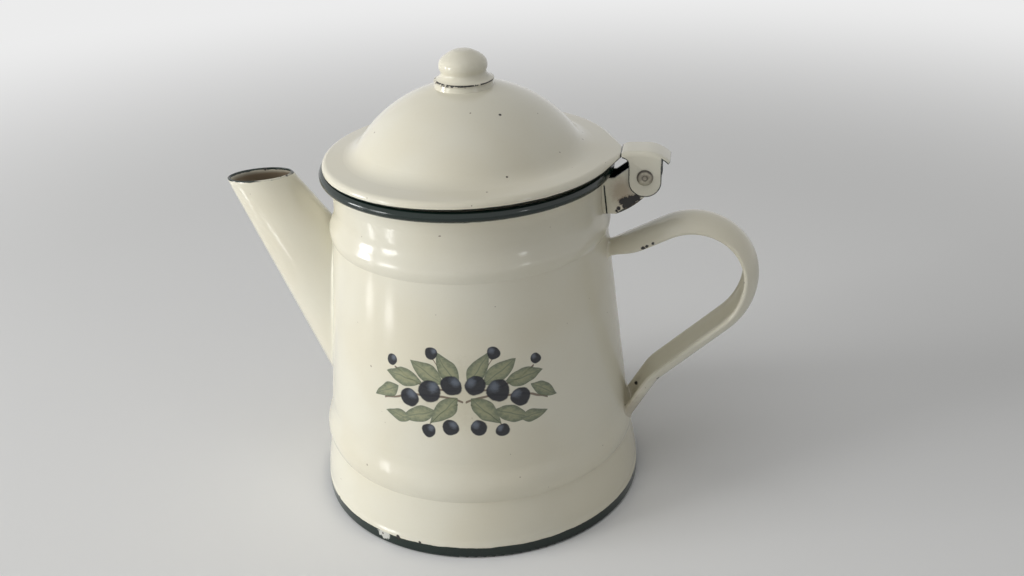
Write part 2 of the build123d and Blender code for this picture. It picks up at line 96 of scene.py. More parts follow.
class Recipe:
    """Node tree of one finish, with one method that adds any node to it."""

    def __init__(self, name: str, world: bpy.types.World | None = None) -> None:
        """Starts an empty tree.

        Args:
            name: Name of a new material.
            world: World whose tree is used in its place.
        """
        self.material = world or bpy.data.materials.new(name)
        self.material.use_nodes = True
        self.tree = self.material.node_tree
        self.tree.nodes.clear()

    def node(self, kind: str, settings: dict | None = None, inputs: dict | None = None) -> bpy.types.Node:
        """Adds a node, sets its settings and then its sockets.

        Args:
            kind: Node type, without its ShaderNode prefix.
            settings: Properties of the node, or the stops of a grey ramp, set first.
            inputs: Values or links by socket name or number.

        Returns:
            The new node.
        """
        made = self.tree.nodes.new("ShaderNode" + kind)
        for name, value in (settings or {}).items():
            if name == "stops":
                self.set_stops(made.color_ramp, value)
            else:
                setattr(made, name, value)
        for key, value in (inputs or {}).items():
            source = value.socket if isinstance(value, Wire) else value
            if isinstance(source, bpy.types.NodeSocket):
                self.tree.links.new(source, made.inputs[key])
            else:
                made.inputs[key].default_value = value
        return made

    @staticmethod
    def set_stops(ramp: bpy.types.ColorRamp, stops: Sequence[tuple[float, float]]) -> None:
        """Sets the stops of a grey ramp.

        Args:
            ramp: The ramp.
            stops: Pairs of position and grey level, in rising order.
        """
        while len(ramp.elements) < len(stops):
            ramp.elements.new(0.5)
        for stop, (position, grey) in zip(ramp.elements, stops):
            stop.position = position
            stop.color = (grey, grey, grey, 1.0)

    @cached_property
    def at(self) -> "Direction":
        """Object coordinates in millimetres."""
        return Direction(self, self.node("TexCoord").outputs["Object"]).scaled(1 / MM)

    @cached_property
    def xyz(self) -> tuple["Number", "Number", "Number"]:
        """The three coordinates one by one."""
        made = self.node("SeparateXYZ", None, {0: self.at})
        return tuple(Number(self, socket) for socket in made.outputs)

    def noise(self, grain: Grain, at: "Direction | None" = None) -> "Number":
        """Soft noise from 0 to 1.

        Args:
            grain: Scale of the noise.
            at: Coordinates, where they aren't the plain ones.

        Returns:
            The noise value.
        """
        inputs = {
            "Vector": self.at if at is None else at,
            "Scale": 1 / grain.size,
            "Detail": grain.detail,
            "Roughness": grain.rough,
        }
        return Number(self, self.node("TexNoise", {"noise_dimensions": "3D"}, inputs).outputs[0])

    def patches(self, grain: Grain) -> "Number":
        """Noise cut to a mask of patches."""
        return self.noise(grain).step(grain.start, grain.end)

    def wander(self, size: float, rough: float = 0.6) -> "Number":
        """Noise around 0 that makes a drawn line wander."""
        return self.noise(Grain(size, 3.0, rough)) - 0.5

    def bump(self, height: "Number", depth: float, below: "Direction | None" = None) -> "Direction":
        """Surface normal of a relief.

        Args:
            height: Relief from 0 to 1.
            depth: Height of the relief in millimetres.
            below: Normal that the relief is laid on.

        Returns:
            The bent normal.
        """
        inputs = {"Strength": 1.0, "Distance": depth * MM, "Height": height}
        if below is not None:
            inputs["Normal"] = below
        return Direction(self, self.node("Bump", None, inputs).outputs[0])

    def surface(self, inputs: dict) -> bpy.types.Material:
        """Closes the tree with a principled shader.

        Args:
            inputs: Values or links of the shader's sockets.

        Returns:
            The finished material.
        """
        shader = self.node("BsdfPrincipled", None, inputs)
        self.node("OutputMaterial", None, {"Surface": shader.outputs[0]})
        return self.material


class Wire:
    """A socket of a recipe that other nodes can read."""

    def __init__(self, recipe: Recipe, socket: bpy.types.NodeSocket) -> None:
        """Wraps an output socket."""
        self.recipe = recipe
        self.socket = socket


class Number(Wire):
    """A value that varies over the surface, with ordinary arithmetic."""

    def maths(self, operation: str, *others: "float | Number") -> "Number":
        """Result of a maths node that starts from this value."""
        made = self.recipe.node("Math", {"operation": operation}, dict(enumerate((self, *others))))
        return Number(self.recipe, made.outputs[0])

    def flipped(self, operation: str, other: float) -> "Number":
        """Result of a maths node that starts from a plain number."""
        made = self.recipe.node("Math", {"operation": operation}, {0: other, 1: self})
        return Number(self.recipe, made.outputs[0])

    def __add__(self, other: "float | Number") -> "Number":
        """Sum."""
        return self.maths("ADD", other)

    def __radd__(self, other: float) -> "Number":
        """Sum with a plain number first."""
        return self.flipped("ADD", other)

    def __sub__(self, other: "float | Number") -> "Number":
        """Difference."""
        return self.maths("SUBTRACT", other)

    def __rsub__(self, other: float) -> "Number":
        """Difference from a plain number."""
        return self.flipped("SUBTRACT", other)

    def __mul__(self, other: "float | Number") -> "Number":
        """Product."""
        return self.maths("MULTIPLY", other)

    def __rmul__(self, other: float) -> "Number":
        """Product with a plain number first."""
        return self.flipped("MULTIPLY", other)

    def __truediv__(self, other: "float | Number") -> "Number":
        """Quotient."""
        return self.maths("DIVIDE", other)

    def __rtruediv__(self, other: float) -> "Number":
        """Quotient of a plain number."""
        return self.flipped("DIVIDE", other)

    def __abs__(self) -> "Number":
        """Size without its sign."""
        return self.maths("ABSOLUTE")

    def least(self, other: "float | Number") -> "Number":
        """The smaller of two values."""
        return self.maths("MINIMUM", other)

    def most(self, other: "float | Number") -> "Number":
        """The larger of two values."""
        return self.maths("MAXIMUM", other)

    def hypot(self, other: "Number") -> "Number":
        """Distance that two values at right angles make."""
        return (self * self + other * other).maths("SQRT")

    def step(self, start: float, end: float) -> "Number":
        """Smooth change from 0 to 1 between two values, which may fall.

        Args:
            start: Value that gives 0.
            end: Value that gives 1.

        Returns:
            The mask.
        """
        made = self.recipe.node(
            "MapRange",
            {"interpolation_type": "SMOOTHSTEP", "clamp": True},
            {"Value": self, "From Min": start, "From Max": end, "To Min": 0.0, "To Max": 1.0},
        )
        return Number(self.recipe, made.outputs[0])

    def above(self, level: float, soft: float) -> "Number":
        """Mask of the values over a level, with a soft border."""
        return self.step(level - soft, level + soft)

    def below(self, level: float, soft: float) -> "Number":
        """Mask of the values under a level, with a soft border."""
        return self.step(level + soft, level - soft)

    def blend(self, first: Colour, second: Colour) -> "Tint":
        """Colour that passes from one plain colour at 0 to another at 1."""
        made = self.recipe.node("Mix", {"data_type": "RGBA"}, {0: self, 6: (*first, 1.0), 7: (*second, 1.0)})
        return Tint(self.recipe, made.outputs[2])


class Direction(Wire):
    """A vector that varies over the surface."""

    def vector(self, operation: str, other: Sequence[float], out: int = 0) -> bpy.types.NodeSocket:
        """Output of a vector maths node with a plain second vector."""
        return self.recipe.node("VectorMath", {"operation": operation}, {0: self, 1: other}).outputs[out]

    def scaled(self, factor: float) -> "Direction":
        """The vector made longer."""
        made = self.recipe.node("VectorMath", {"operation": "SCALE"}, {0: self, "Scale": factor})
        return Direction(self.recipe, made.outputs[0])

    def times(self, other: Sequence[float]) -> "Direction":
        """The vector stretched along each axis."""
        return Direction(self.recipe, self.vector("MULTIPLY", other))

    def minus(self, other: Sequence[float]) -> "Direction":
        """The vector from a fixed point."""
        return Direction(self.recipe, self.vector("SUBTRACT", other))

    def dot(self, other: Sequence[float]) -> Number:
        """Length of the vector along a fixed direction."""
        return Number(self.recipe, self.vector("DOT_PRODUCT", other, out=1))

    def far_from(self, point: Sequence[float]) -> Number:
        """Distance to a fixed point."""
        return Number(self.recipe, self.vector("DISTANCE", point, out=1))


class Tint(Wire):
    """A colour that varies over the surface."""

    def mixed(self, other: "Colour | Tint", share: "float | Number") -> "Tint":
        """Blend towards another colour.

        Args:
            other: The other colour.
            share: How much of it, from 0 to 1.

        Returns:
            The blended colour.
        """
        if not isinstance(other, Wire):
            other = (*other, 1.0)
        made = self.recipe.node("Mix", {"data_type": "RGBA"}, {0: share, 6: self, 7: other})
        return Tint(self.recipe, made.outputs[2])


@dataclass(frozen=True)
class Chip:
    """A flake of missing enamel: its middle and its radius in millimetres."""

    x: float
    y: float
    z: float
    radius: float


@dataclass(frozen=True)
class Enamel:
    """Vitreous enamel on sheet steel: a clean coat, its trim and its damage."""

    cream: Colour = (0.730, 0.705, 0.590)
    cream_warm: Colour = (0.690, 0.640, 0.490)
    green: Colour = (0.0065, 0.0170, 0.0130)
    iron: Colour = (0.020, 0.019, 0.018)
    rust: Colour = (0.110, 0.050, 0.024)
    drift: Grain = Grain(38.0, 2.0, 0.5, 0.35, 0.70)
    drift_share: float = 0.55
    mottle: Grain = Grain(0.9, 3.0, 0.6, 0.45, 0.75)
    mottle_share: float = 0.10
    pinholes: Grain = Grain(1.7, 0.0, 0.5, 0.872, 0.892)
    pinhole_share: float = 0.6
    smear: Grain = Grain(9.0, 3.0, 0.6, 0.40, 0.75)
    gloss: float = 0.13
    smear_dulls: float = 0.10
    iron_dulls: float = 0.40
    ripple: Grain = Grain(14.0, 1.0)
    ripple_depth: float = 0.030
    peel: Grain = Grain(2.2, 1.0)
    peel_depth: float = 0.0045
    coat_depth: float = 0.16
    ragged_size: float = 0.8
    ragged_rough: float = 0.65
    ragged_reach: float = 1.3
    bare_edge: tuple[float, float] = (1.02, 0.90)
    ring_edge: tuple[float, float] = (1.38, 1.02)
    ring_share: float = 0.45
    chips: tuple[Chip, ...] = ()

    def coat(self, recipe: Recipe) -> Tint:
        """Cream colour with its slow drift, fine mottle and rare dark pinholes.

        Args:
            recipe: The recipe to work in.

        Returns:
            The colour of the clean coat.
        """
        drift = recipe.patches(self.drift) * self.drift_share
        warmth = drift + recipe.patches(self.mottle) * self.mottle_share
        pinholes = recipe.patches(self.pinholes) * self.pinhole_share
        return warmth.blend(self.cream, self.cream_warm).mixed(self.rust, pinholes)

    def relief(self, recipe: Recipe) -> Direction:
        """Normal of the sheet's slow waves under the fine peel of the fired coat."""
        waves = recipe.bump(recipe.noise(self.ripple), self.ripple_depth)
        return recipe.bump(recipe.noise(self.peel), self.peel_depth, waves)

    def damage(self, recipe: Recipe) -> tuple[Number, Number]:
        """Masks of the flaked spots and of the rusty ring round them.

        Args:
            recipe: The recipe to work in.

        Returns:
            The bare iron mask and the wider ring mask.
        """
        depth = None
        for chip in self.chips:
            inside = recipe.at.far_from((chip.x, chip.y, chip.z)) * (1 / chip.radius)
            depth = inside if depth is None else depth.least(inside)
        depth = depth + recipe.wander(self.ragged_size, self.ragged_rough) * self.ragged_reach
        return depth.step(*self.bare_edge), depth.step(*self.ring_edge)

    def finished(self, recipe: Recipe, tint: Tint, flaked: Number | None = None) -> bpy.types.Material:
        """Lays the damage over a colour and closes the material.

        Args:
            recipe: The recipe to work in.
            tint: Colour of the sound coat.
            flaked: Mask of more missing enamel.

        Returns:
            The finished material.
        """
        iron, ring = self.damage(recipe)
        if flaked is not None:
            iron, ring = iron.most(flaked), ring.most(flaked)
        dull = recipe.patches(self.smear) * self.smear_dulls + self.gloss
        return recipe.surface(
            {
                "Base Color": tint.mixed(self.rust, ring * self.ring_share).mixed(self.iron, iron),
                "Roughness": dull + iron * self.iron_dulls,
                "Normal": recipe.bump(1 - iron, self.coat_depth, self.relief(recipe)),
            }
        )


@dataclass(frozen=True)
class Leaf:
    """A painted leaf of the sprig: its middle, half size and turn in degrees."""

    across: float
    up: float
    length: float
    width: float
    turn: float


@dataclass(frozen=True)
class Berry:
    """A painted berry of the sprig: its middle and its radius."""

    across: float
    up: float
    radius: float


@dataclass(frozen=True)
class Stem:
    """A painted stalk of the sprig, bowed between two points."""

    start: tuple[float, float]
    end: tuple[float, float]
    bow: float
    width: float


@dataclass(frozen=True)
class Sprig:
    """Transfer of two berry twigs that meet in the middle, laid on the front of the wall."""

    turn: float = 6.0
    middle: float = 61.5
    radius: float = 51.6
    leaf_dark: Colour = (0.105, 0.135, 0.085)
    leaf_pale: Colour = (0.270, 0.285, 0.165)
    berry_dark: Colour = (0.017, 0.019, 0.026)
    berry_pale: Colour = (0.115, 0.135, 0.170)
    stalk: Colour = (0.130, 0.085, 0.055)
    wash: Colour = (0.430, 0.400, 0.260)
    wash_reach: tuple[float, float] = (29.0, 16.0)
    sway: Grain = Grain(7.0, 1.0)
    lift: Grain = Grain(6.0, 1.0)
    lift_from: Spot = (40.0, 0.0, 0.0)
    shift: float = 1.7
    brush: Grain = Grain(1.5, 3.0, 0.6)
    brush_stretch: Spot = (1.0, 1.0, 1.6)
    speckle: Grain = Grain(0.35, 1.0)
    wash_edge: tuple[float, float] = (1.35, 0.35)
    wash_share: float = 0.26
    stalk_edge: tuple[float, float] = (1.25, 0.70)
    stalk_share: float = 0.85
    leaf_edge: tuple[float, float] = (-0.10, 0.16)
    leaf_shade: tuple[float, float] = (0.40, 1.15)
    rib_share: float = 0.75
    rim_share: float = 0.8
    berry_edge: tuple[float, float] = (1.12, 0.98)
    berry_shade: tuple[float, float] = (0.10, 0.75)
    gleam_at: tuple[float, float] = (-0.36, 0.40)
    leaves: tuple[Leaf, ...] = (
        Leaf(5.2, 8.4, 6.6, 2.7, 58.0),
        Leaf(12.2, 6.8, 7.0, 2.9, 34.0),
        Leaf(20.6, 4.0, 6.6, 2.7, 8.0),
        Leaf(27.2, -2.4, 5.6, 2.2, -32.0),
        Leaf(7.0, -6.6, 6.8, 2.8, -46.0),
        Leaf(15.8, -8.8, 6.4, 2.6, -22.0),
        Leaf(22.8, -10.4, 5.0, 2.0, 6.0),
    )
    berries: tuple[Berry, ...] = (
        Berry(3.9, 2.6, 3.5),
        Berry(11.4, 0.2, 4.0),
        Berry(18.6, -3.0, 3.3),
        Berry(4.6, -12.4, 2.8),
        Berry(12.2, -14.0, 2.3),
        Berry(24.8, 9.2, 1.9),
        Berry(10.4, 13.6, 2.2),
    )
    stems: tuple[Stem, ...] = (
        Stem((0.0, -3.2), (29.0, -6.0), 3.2, 0.42),
        Stem((2.0, 1.0), (24.6, 7.6), -2.4, 0.34),
        Stem((2.0, -4.0), (12.2, -12.4), 1.2, 0.30),
        Stem((6.5, 5.5), (10.4, 12.0), 0.8, 0.28),
    )

    def flat(self, recipe: Recipe) -> tuple[Number, Number]:
        """Unrolls the wall round the middle of the sprig.

        Args:
            recipe: The recipe to work in.

        Returns:
            Distances across and up, in millimetres.
        """
        x, y, z = recipe.xyz
        across = (x.maths("ARCTAN2", y * -1.0) - math.radians(self.turn)) * self.radius
        sway = recipe.noise(self.sway) - 0.5
        lift = recipe.noise(self.lift, recipe.at.minus(self.lift_from)) - 0.5
        return across + sway * self.shift, z - self.middle + lift * self.shift

    def stalks(self, side: Number, up: Number) -> Number:
        """Mask of the stalks.

        Args:
            side: Distance from the middle.
            up: Distance up.

        Returns:
            1 on a stalk and 0 beside it.
        """
        line = None
        for stem in self.stems:
            (start, low), (end, high) = stem.start, stem.end
            share = (side - start) * (1 / (end - start))
            curve = share * (high - low) + low + (share * (1 - share)) * (4 * stem.bow)
            past = (share.step(0.96, 1.02) + share.step(0.02, -0.04)) * 9.0
            off = (abs(up - curve) + past) * (1 / stem.width)
            line = off if line is None else line.least(off)
        return line.step(*self.stalk_edge)

    def foliage(self, side: Number, up: Number) -> tuple[Number, Number]:
        """Shapes of the leaves.

        Args:
            side: Distance from the middle.
            up: Distance up.

        Returns:
            Depth inside the nearest leaf, above 0 inside, and the mask of the midribs.
        """
        depth, ribs = None, None
        for leaf in self.leaves:
            cosine, sine = math.cos(math.radians(leaf.turn)), math.sin(math.radians(leaf.turn))
            dx, dz = side - leaf.across, up - leaf.up
            share = (dx * cosine + dz * sine) * (1 / leaf.length)
            aside = abs(dz * cosine - dx * sine)
            inside = (1 - share * share) * (1.12 - share * 0.30).most(0.5) * leaf.width - aside
            rib = inside.step(0.0, 0.2) * aside.step(0.30, 0.08)
            depth = inside if depth is None else depth.most(inside)
            ribs = rib if ribs is None else ribs.most(rib)
        return depth, ribs

    def painted(self, recipe: Recipe, ground: Tint) -> Tint:
        """Paints the sprig over the coat.

        Args:
            recipe: The recipe to work in.
            ground: Colour of the coat.

        Returns:
            The coat with the sprig on it.
        """
        across, up = self.flat(recipe)
        side = abs(across)
        brush = recipe.noise(self.brush, recipe.at.times(self.brush_stretch))
        speckle = recipe.noise(self.speckle)
        wide, high = self.wash_reach
        reach = (side * side) * (1 / wide**2) + (up * up) * (1 / high**2)
        tint = ground.mixed(self.wash, (reach + brush * 0.9).step(*self.wash_edge) * self.wash_share)
        tint = tint.mixed(self.stalk, self.stalks(side, up) * self.stalk_share)
        depth, ribs = self.foliage(side, up)
        green = (brush * 1.1 + depth * 0.22).step(*self.leaf_shade).blend(self.leaf_dark, self.leaf_pale)
        rims = depth.step(0.42, 0.05) * self.rim_share
        green = green.mixed(self.leaf_dark, (ribs * self.rib_share).most(rims))
        tint = tint.mixed(green, depth.step(*self.leaf_edge) * (0.97 - speckle * 0.10))
        aside, over = self.gleam_at
        for berry in self.berries:
            dx, dz = side - berry.across, up - berry.up
            gap = dx.hypot(dz) * (1 / berry.radius)
            gleam = (dx - berry.radius * aside).hypot(dz - berry.radius * over) * (1 / berry.radius)
            skin = (gleam + brush * 0.5 - 0.2).step(*self.berry_shade).blend(self.berry_pale, self.berry_dark)
            tint = tint.mixed(skin, (gap + brush * 0.12).step(*self.berry_edge) * (1.0 - speckle * 0.03))
        return tint


@dataclass(frozen=True)
class WallFinish(Enamel):
    """Cream body with green rim and foot, a painted sprig, worn foot and a lightly stained inside."""

    rim_line: float = 119.4
    rim_wander: float = 0.5
    foot_line: float = 4.35
    foot_wander: float = 0.9
    middle_line: tuple[tuple[float, float], ...] = (
        (0.0, 57.9),
        (21.0, 55.0),
        (35.6, 53.8),
        (98.8, 47.3),
        (110.0, 45.9),
        (115.2, 45.9),
        (121.0, 47.1),
    )
    ramp_scale: float = 100.0
    stain: Colour = (0.400, 0.310, 0.180)
    stain_rings: Grain = Grain(9.0, 3.0, 0.6)
    ring_stretch: Spot = (0.25, 0.25, 1.6)
    stain_height: float = 70.0
    stain_edge: tuple[float, float] = (0.35, 1.1)
    stain_share: float = 0.5
    ground: Colour = (0.560, 0.560, 0.520)
    ledge_top: float = 7.2
    ledge_foot: float = 4.6
    ledge_depth: float = 0.60
    rubbed: Grain = Grain(1.1, 4.0, 0.7)
    rubbed_at: Spot = (-26.0, -52.4, 5.2)
    rubbed_stretch: Spot = (1.0, 1.0, 1.5)
    scuffs: Grain = Grain(1.6, 4.0, 0.7)
    chips: tuple[Chip, ...] = (
        Chip(-20.2, -54.8, 4.4, 0.75),
        Chip(-11.9, -57.1, 4.6, 0.45),
        Chip(-46.8, -34.6, 4.6, 0.55),
        Chip(-26.4, -52.0, 3.4, 0.35),
        Chip(34.0, 47.4, 3.2, 0.9),
        Chip(-8.0, 57.8, 2.6, 0.7),
        Chip(57.6, -9.2, 3.8, 0.6),
        Chip(10.0, 50.2, 70.5, 0.35),
        Chip(-33.0, 33.6, 115.0, 0.35),
    )

    def relief(self, recipe: Recipe) -> Direction:
        """Normal of the coat's relief with the ledge of the second coat round the foot."""
        ledge = recipe.xyz[2].step(self.ledge_top, self.ledge_foot)
        return recipe.bump(ledge, self.ledge_depth, Enamel.relief(self, recipe))

    def material(self, sprig: Sprig) -> bpy.types.Material:
        """Builds the wall's material.

        Args:
            sprig: The transfer on the front.

        Returns:
            The material.
        """
        recipe = Recipe("wall_enamel")
        z = recipe.xyz[2]
        wander = recipe.wander(6.0)
        coat = self.coat(recipe)
        inside = self.inside(recipe)
        rings = recipe.noise(self.stain_rings, recipe.at.times(self.ring_stretch))
        stained = (rings * 0.9 + z.step(self.stain_height, 0.0) * 0.35).step(*self.stain_edge)
        stained = inside * stained * self.stain_share
        tint = sprig.painted(recipe, coat).mixed(coat, inside).mixed(self.stain, stained)
        rim = (z + wander * self.rim_wander).above(self.rim_line, 0.06)
        foot = (z + wander * self.foot_wander).below(self.foot_line, 0.07)
        tint = tint.mixed(self.green, rim.most(foot)).mixed(self.ground, foot * self.worn(recipe))
        return self.finished(recipe, tint)

    def inside(self, recipe: Recipe) -> Number:
        """Mask of the faces inside the line through the middle of the sheet.

        Args:
            recipe: The recipe to work in.

        Returns:
            1 on the inside and 0 outside.
        """
        x, y, z = recipe.xyz
        top = self.middle_line[-1][0]
        stops = [(height / top, radius / self.ramp_scale) for height, radius in self.middle_line]
        ramp = recipe.node("ValToRGB", {"stops": stops}, {0: z * (1 / top)})
        middle = Number(recipe, ramp.outputs[0]) * self.ramp_scale
        return (middle - x.hypot(y)).above(0.0, 0.05)

    def worn(self, recipe: Recipe) -> Number:
        """Mask of the places where the foot band's green is rubbed off.

        Args:
            recipe: The recipe to work in.

        Returns:
            1 where the pale ground shows.
        """
        patch = recipe.at.times(self.rubbed_stretch).far_from(self.rubbed_at)
        rubbed = (patch * 0.22 + recipe.noise(self.rubbed) * 1.1).step(1.22, 1.05)
        scuffs = (recipe.noise(self.scuffs) + recipe.xyz[2].step(2.0, 0.0) * 0.08).step(0.70, 0.74)
        return rubbed.most(scuffs * 0.6)


@dataclass(frozen=True)
class PanFinish(Enamel):
    """Dark ground coat of the base, rubbed dull where it stands."""

    dusty: Colour = (0.045, 0.050, 0.046)
    dust: Grain = Grain(12.0, 4.0, 0.65, 0.40, 0.72)
    upper_face: float = 6.4
    chips: tuple[Chip, ...] = (Chip(18.0, -22.0, 6.0, 2.2), Chip(-30.0, 12.0, 6.0, 1.4))

    def material(self) -> bpy.types.Material:
        """Builds the base pan's material.

        Returns:
            The material.
        """
        recipe = Recipe("pan_enamel")
        tint = recipe.patches(self.dust).blend(self.green, self.dusty)
        tint = tint.mixed(self.coat(recipe), recipe.xyz[2].above(self.upper_face, 0.1))
        return self.finished(recipe, tint)


@dataclass(frozen=True)
class Cone:
    """Straight oval cone of the spout, each size given at the root's level and at the mouth's."""

    heights: tuple[float, float] = (43.0, 116.1)
    reaches: tuple[float, float] = (31.3, 74.7)
    lengths: tuple[float, float] = (49.1, 25.3)
    widths: tuple[float, float] = (35.3, 14.4)
    sheet: float = 1.0

    @staticmethod
    def between(sizes: tuple[float, float], share: "float | Number") -> "float | Number":
        """Size at a share of the way from the root to the mouth."""
        return share * (sizes[1] - sizes[0]) + sizes[0]

    @cached_property
    def lean(self) -> float:
        """Angle of the cone's axis above the floor."""
        return math.atan2(self.heights[1] - self.heights[0], self.reaches[1] - self.reaches[0])

    def bore(self, recipe: Recipe) -> Number:
        """Mask of the faces inside the line through the middle of the sheet.

        Args:
            recipe: The recipe to work in.

        Returns:
            1 in the bore and 0 outside.
        """
        x, y, z = recipe.xyz
        share = (z - self.heights[0]) * (1 / (self.heights[1] - self.heights[0]))
        half_sheet = self.sheet / 2
        along = (x + self.between(self.reaches, share)) / (
            self.between(self.lengths, share) * 0.5 - half_sheet / math.sin(self.lean)
        )
        aside = y / (self.between(self.widths, share) * 0.5 - half_sheet)
        return (along * along + aside * aside).below(1.0, 0.02)


@dataclass(frozen=True)
class SpoutFinish(Enamel):
    """Cream spout with a brown bore and a thin green lip, worn through on the side next to the pot."""

    lip_depth: float = 0.75
    stain: Colour = (0.200, 0.135, 0.075)
    stain_share: float = 0.85
    wear: Grain = Grain(1.3, 3.0, 0.7)
    wear_share: float = 0.85
    chips: tuple[Chip, ...] = (
        Chip(-75.2, 6.6, 115.6, 0.6),
        Chip(-64.0, -2.6, 116.6, 0.5),
        Chip(-80.6, -5.6, 115.0, 0.4),
    )

    def material(self, cone: Cone, mouth: Sequence[float], normal: Sequence[float]) -> bpy.types.Material:
        """Builds the spout's material.

        Args:
            cone: The spout's shape.
            mouth: A point of the mouth's plane.
            normal: Direction that the mouth faces.

        Returns:
            The material.
        """
        recipe = Recipe("spout_enamel")
        x, y, _ = recipe.xyz
        below = recipe.at.minus(mouth).dot(normal) * -1.0
        front = y.step(1.0, -3.0)
        lip = (below + recipe.wander(2.4) * 0.9 + front * 0.25).below(self.lip_depth, 0.10)
        worn = x.step(-75.0, -71.0) * front * (recipe.noise(self.wear) + 0.2).step(0.50, 0.62)
        stained = cone.bore(recipe) * below.step(0.2, 2.5) * self.stain_share
        tint = self.coat(recipe).mixed(self.stain, stained)
        return self.finished(recipe, tint.mixed(self.green, lip * (1 - worn * self.wear_share)))


@dataclass(frozen=True)
class StrapFinish(Enamel):
    """Cream strap, knocked through to the iron at both roots and stained brown at the lower one."""

    tan: Colour = (0.250, 0.190, 0.110)
    tan_at: Spot = (55.5, -2.4, 31.0)
    tan_stretch: Spot = (1.0, 0.6, 1.0)
    tan_share: float = 0.42
    chips: tuple[Chip, ...] = (
        Chip(60.5, -8.6, 95.6, 0.75),
        Chip(61.6, -8.4, 96.3, 0.55),
        Chip(63.7, -8.3, 97.4, 0.45),
        Chip(57.8, 5.8, 34.6, 0.7),
        Chip(66.2, -6.2, 44.2, 0.6),
        Chip(96.0, 8.4, 70.0, 0.5),
        Chip(88.6, 2.0, 103.6, 0.3),
    )

    def material(self) -> bpy.types.Material:
        """Builds the handle's material.

        Returns:
            The material.
        """
        recipe = Recipe("strap_enamel")
        far = recipe.at.times(self.tan_stretch).far_from(self.tan_at)
        stained = (far * 0.085 + recipe.wander(3.0)).step(0.9, 0.2) * self.tan_share
        return self.finished(recipe, self.coat(recipe).mixed(self.tan, stained))


@dataclass(frozen=True)
class BracketFinish(Enamel):
    """Cream cheeks over a dark ground inside, with a dark weld seam, deep chips and a brown patch on the
    cheek that is partly brown tint and partly painted shade.
    """

    width: float = 9.8
    seam_at: float = 57.55
    seam_lean: float = 0.09
    seam_top: float = 116.5
    # Brown patch on the cheek, with its middle, stretch and share: partly the cheek's own brown tint and
    # partly painted shade of its shaded side.
    tan: Colour = (0.330, 0.235, 0.140)
    tan_at: Spot = (53.0, -1.5, 91.6)
    tan_stretch: Spot = (1.0, 0.3, 0.8)
    tan_share: float = 0.62
    web_lean: float = -0.62
    web_foot: float = 75.1
    chips: tuple[Chip, ...] = (
        Chip(53.2, -5.0, 110.9, 1.2),
        Chip(54.6, -5.0, 110.9, 1.7),
        Chip(56.2, -5.0, 111.5, 1.7),
        Chip(57.8, -5.0, 112.3, 1.3),
        Chip(55.0, -5.0, 109.9, 1.5),
        Chip(53.9, -5.0, 109.3, 0.9),
        Chip(51.9, -5.0, 108.4, 0.7),
        Chip(51.2, -5.0, 107.5, 0.5),
        Chip(55.4, 5.0, 110.2, 0.8),
    )

    def material(self) -> bpy.types.Material:
        """Builds the bracket's material.

        Returns:
            The material.
        """
        recipe = Recipe("bracket_enamel")
        x, y, z = recipe.xyz
        wander = recipe.wander(1.6)
        seam = abs(x + z * self.seam_lean - self.seam_at + wander * 0.3).step(0.34, 0.20)
        seam = seam * z.below(self.seam_top, 0.5)
        inner = (abs(y) + wander * 0.25).step(self.width / 2 - 0.42, self.width / 2 - 0.55)
        # Brown patch on the cheek: partly brown tint, partly painted shade.
        brown_and_shade = recipe.at.times(self.tan_stretch).far_from(self.tan_at) * 0.30 + wander * 0.8
        lower = (x * self.web_lean + z + wander * 0.9).below(self.web_foot, 0.2) * x.step(50.6, 51.6)
        tint = self.coat(recipe).mixed(self.tan, brown_and_shade.step(1.70, 0.35) * self.tan_share)
        return self.finished(recipe, tint.mixed(self.green, seam.most(inner).most(lower * 0.9)))


@dataclass(frozen=True)
class LeafFinish(Enamel):
    """Cream cap of the hinge with thin dark edges where the enamel drew back from the cut sheet."""

    ear: tuple[float, float] = (60.6, 118.5)
    ear_radius: float = 5.4
    ear_top: float = 124.2
    half_width: float = 6.0
    bay: tuple[float, float] = (53.0, 124.3)
    bay_radius: float = 2.2
    bay_end: float = 55.4
    bay_foot: float = 124.1
    tail: tuple[float, float] = (60.5, 117.2)
    tail_radius: float = 11.5
    tail_start: float = 65.8
    tail_side: float = 5.05
    tail_cut: tuple[float, float, float] = (0.695, -0.719, -42.39)
    tail_foot: float = 123.6
    fold_top: float = 126.7
    lug_end: float = 52.55
    chips: tuple[Chip, ...] = (
        Chip(55.3, -6.0, 113.9, 0.35),
        Chip(66.2, -6.0, 124.6, 0.4),
        Chip(52.7, -5.7, 126.2, 0.45),
    )

    def material(self) -> bpy.types.Material:
        """Builds the leaf's material.

        Returns:
            The material.
        """
        recipe = Recipe("leaf_enamel")
        x, y, z = recipe.xyz
        wander = recipe.wander(1.4, 0.65)
        ear = (x - self.ear[0]).hypot((z - self.ear[1]).least(0.0)) - self.ear_radius
        bay = (x - self.bay[0]).hypot(z - self.bay[1]) - self.bay_radius
        depth = self.tail_radius - (x - self.tail[0]).hypot(z - self.tail[1])
        along, down, cut = self.tail_cut
        inner = (abs(y) + wander * 0.2).step(self.half_width - 0.62, self.half_width - 0.78)
        lines = (
            (ear + wander * 0.35).step(-0.42, -0.20) * z.below(self.ear_top, 0.4),
            (bay + wander * 0.3).step(0.42, 0.22) * x.below(self.bay_end, 0.2) * z.above(self.bay_foot, 0.3),
            (depth + wander * 0.2).above(0.65, 0.10)
            * x.above(self.tail_start, 0.2)
            * abs(y).above(self.tail_side, 0.15),
            (x - self.lug_end + wander * 0.25).step(0.42, 0.22) * 0.85,
            inner * z.below(self.fold_top, 0.3) * depth.above(0.45, 0.10),
            (x * along + z * down + wander * 0.2).above(cut, 0.07) * z.above(self.tail_foot, 0.4),
        )
        dark = lines[0]
        for line in lines[1:]:
            dark = dark.most(line)
        return self.finished(recipe, self.coat(recipe).mixed(self.green, dark))


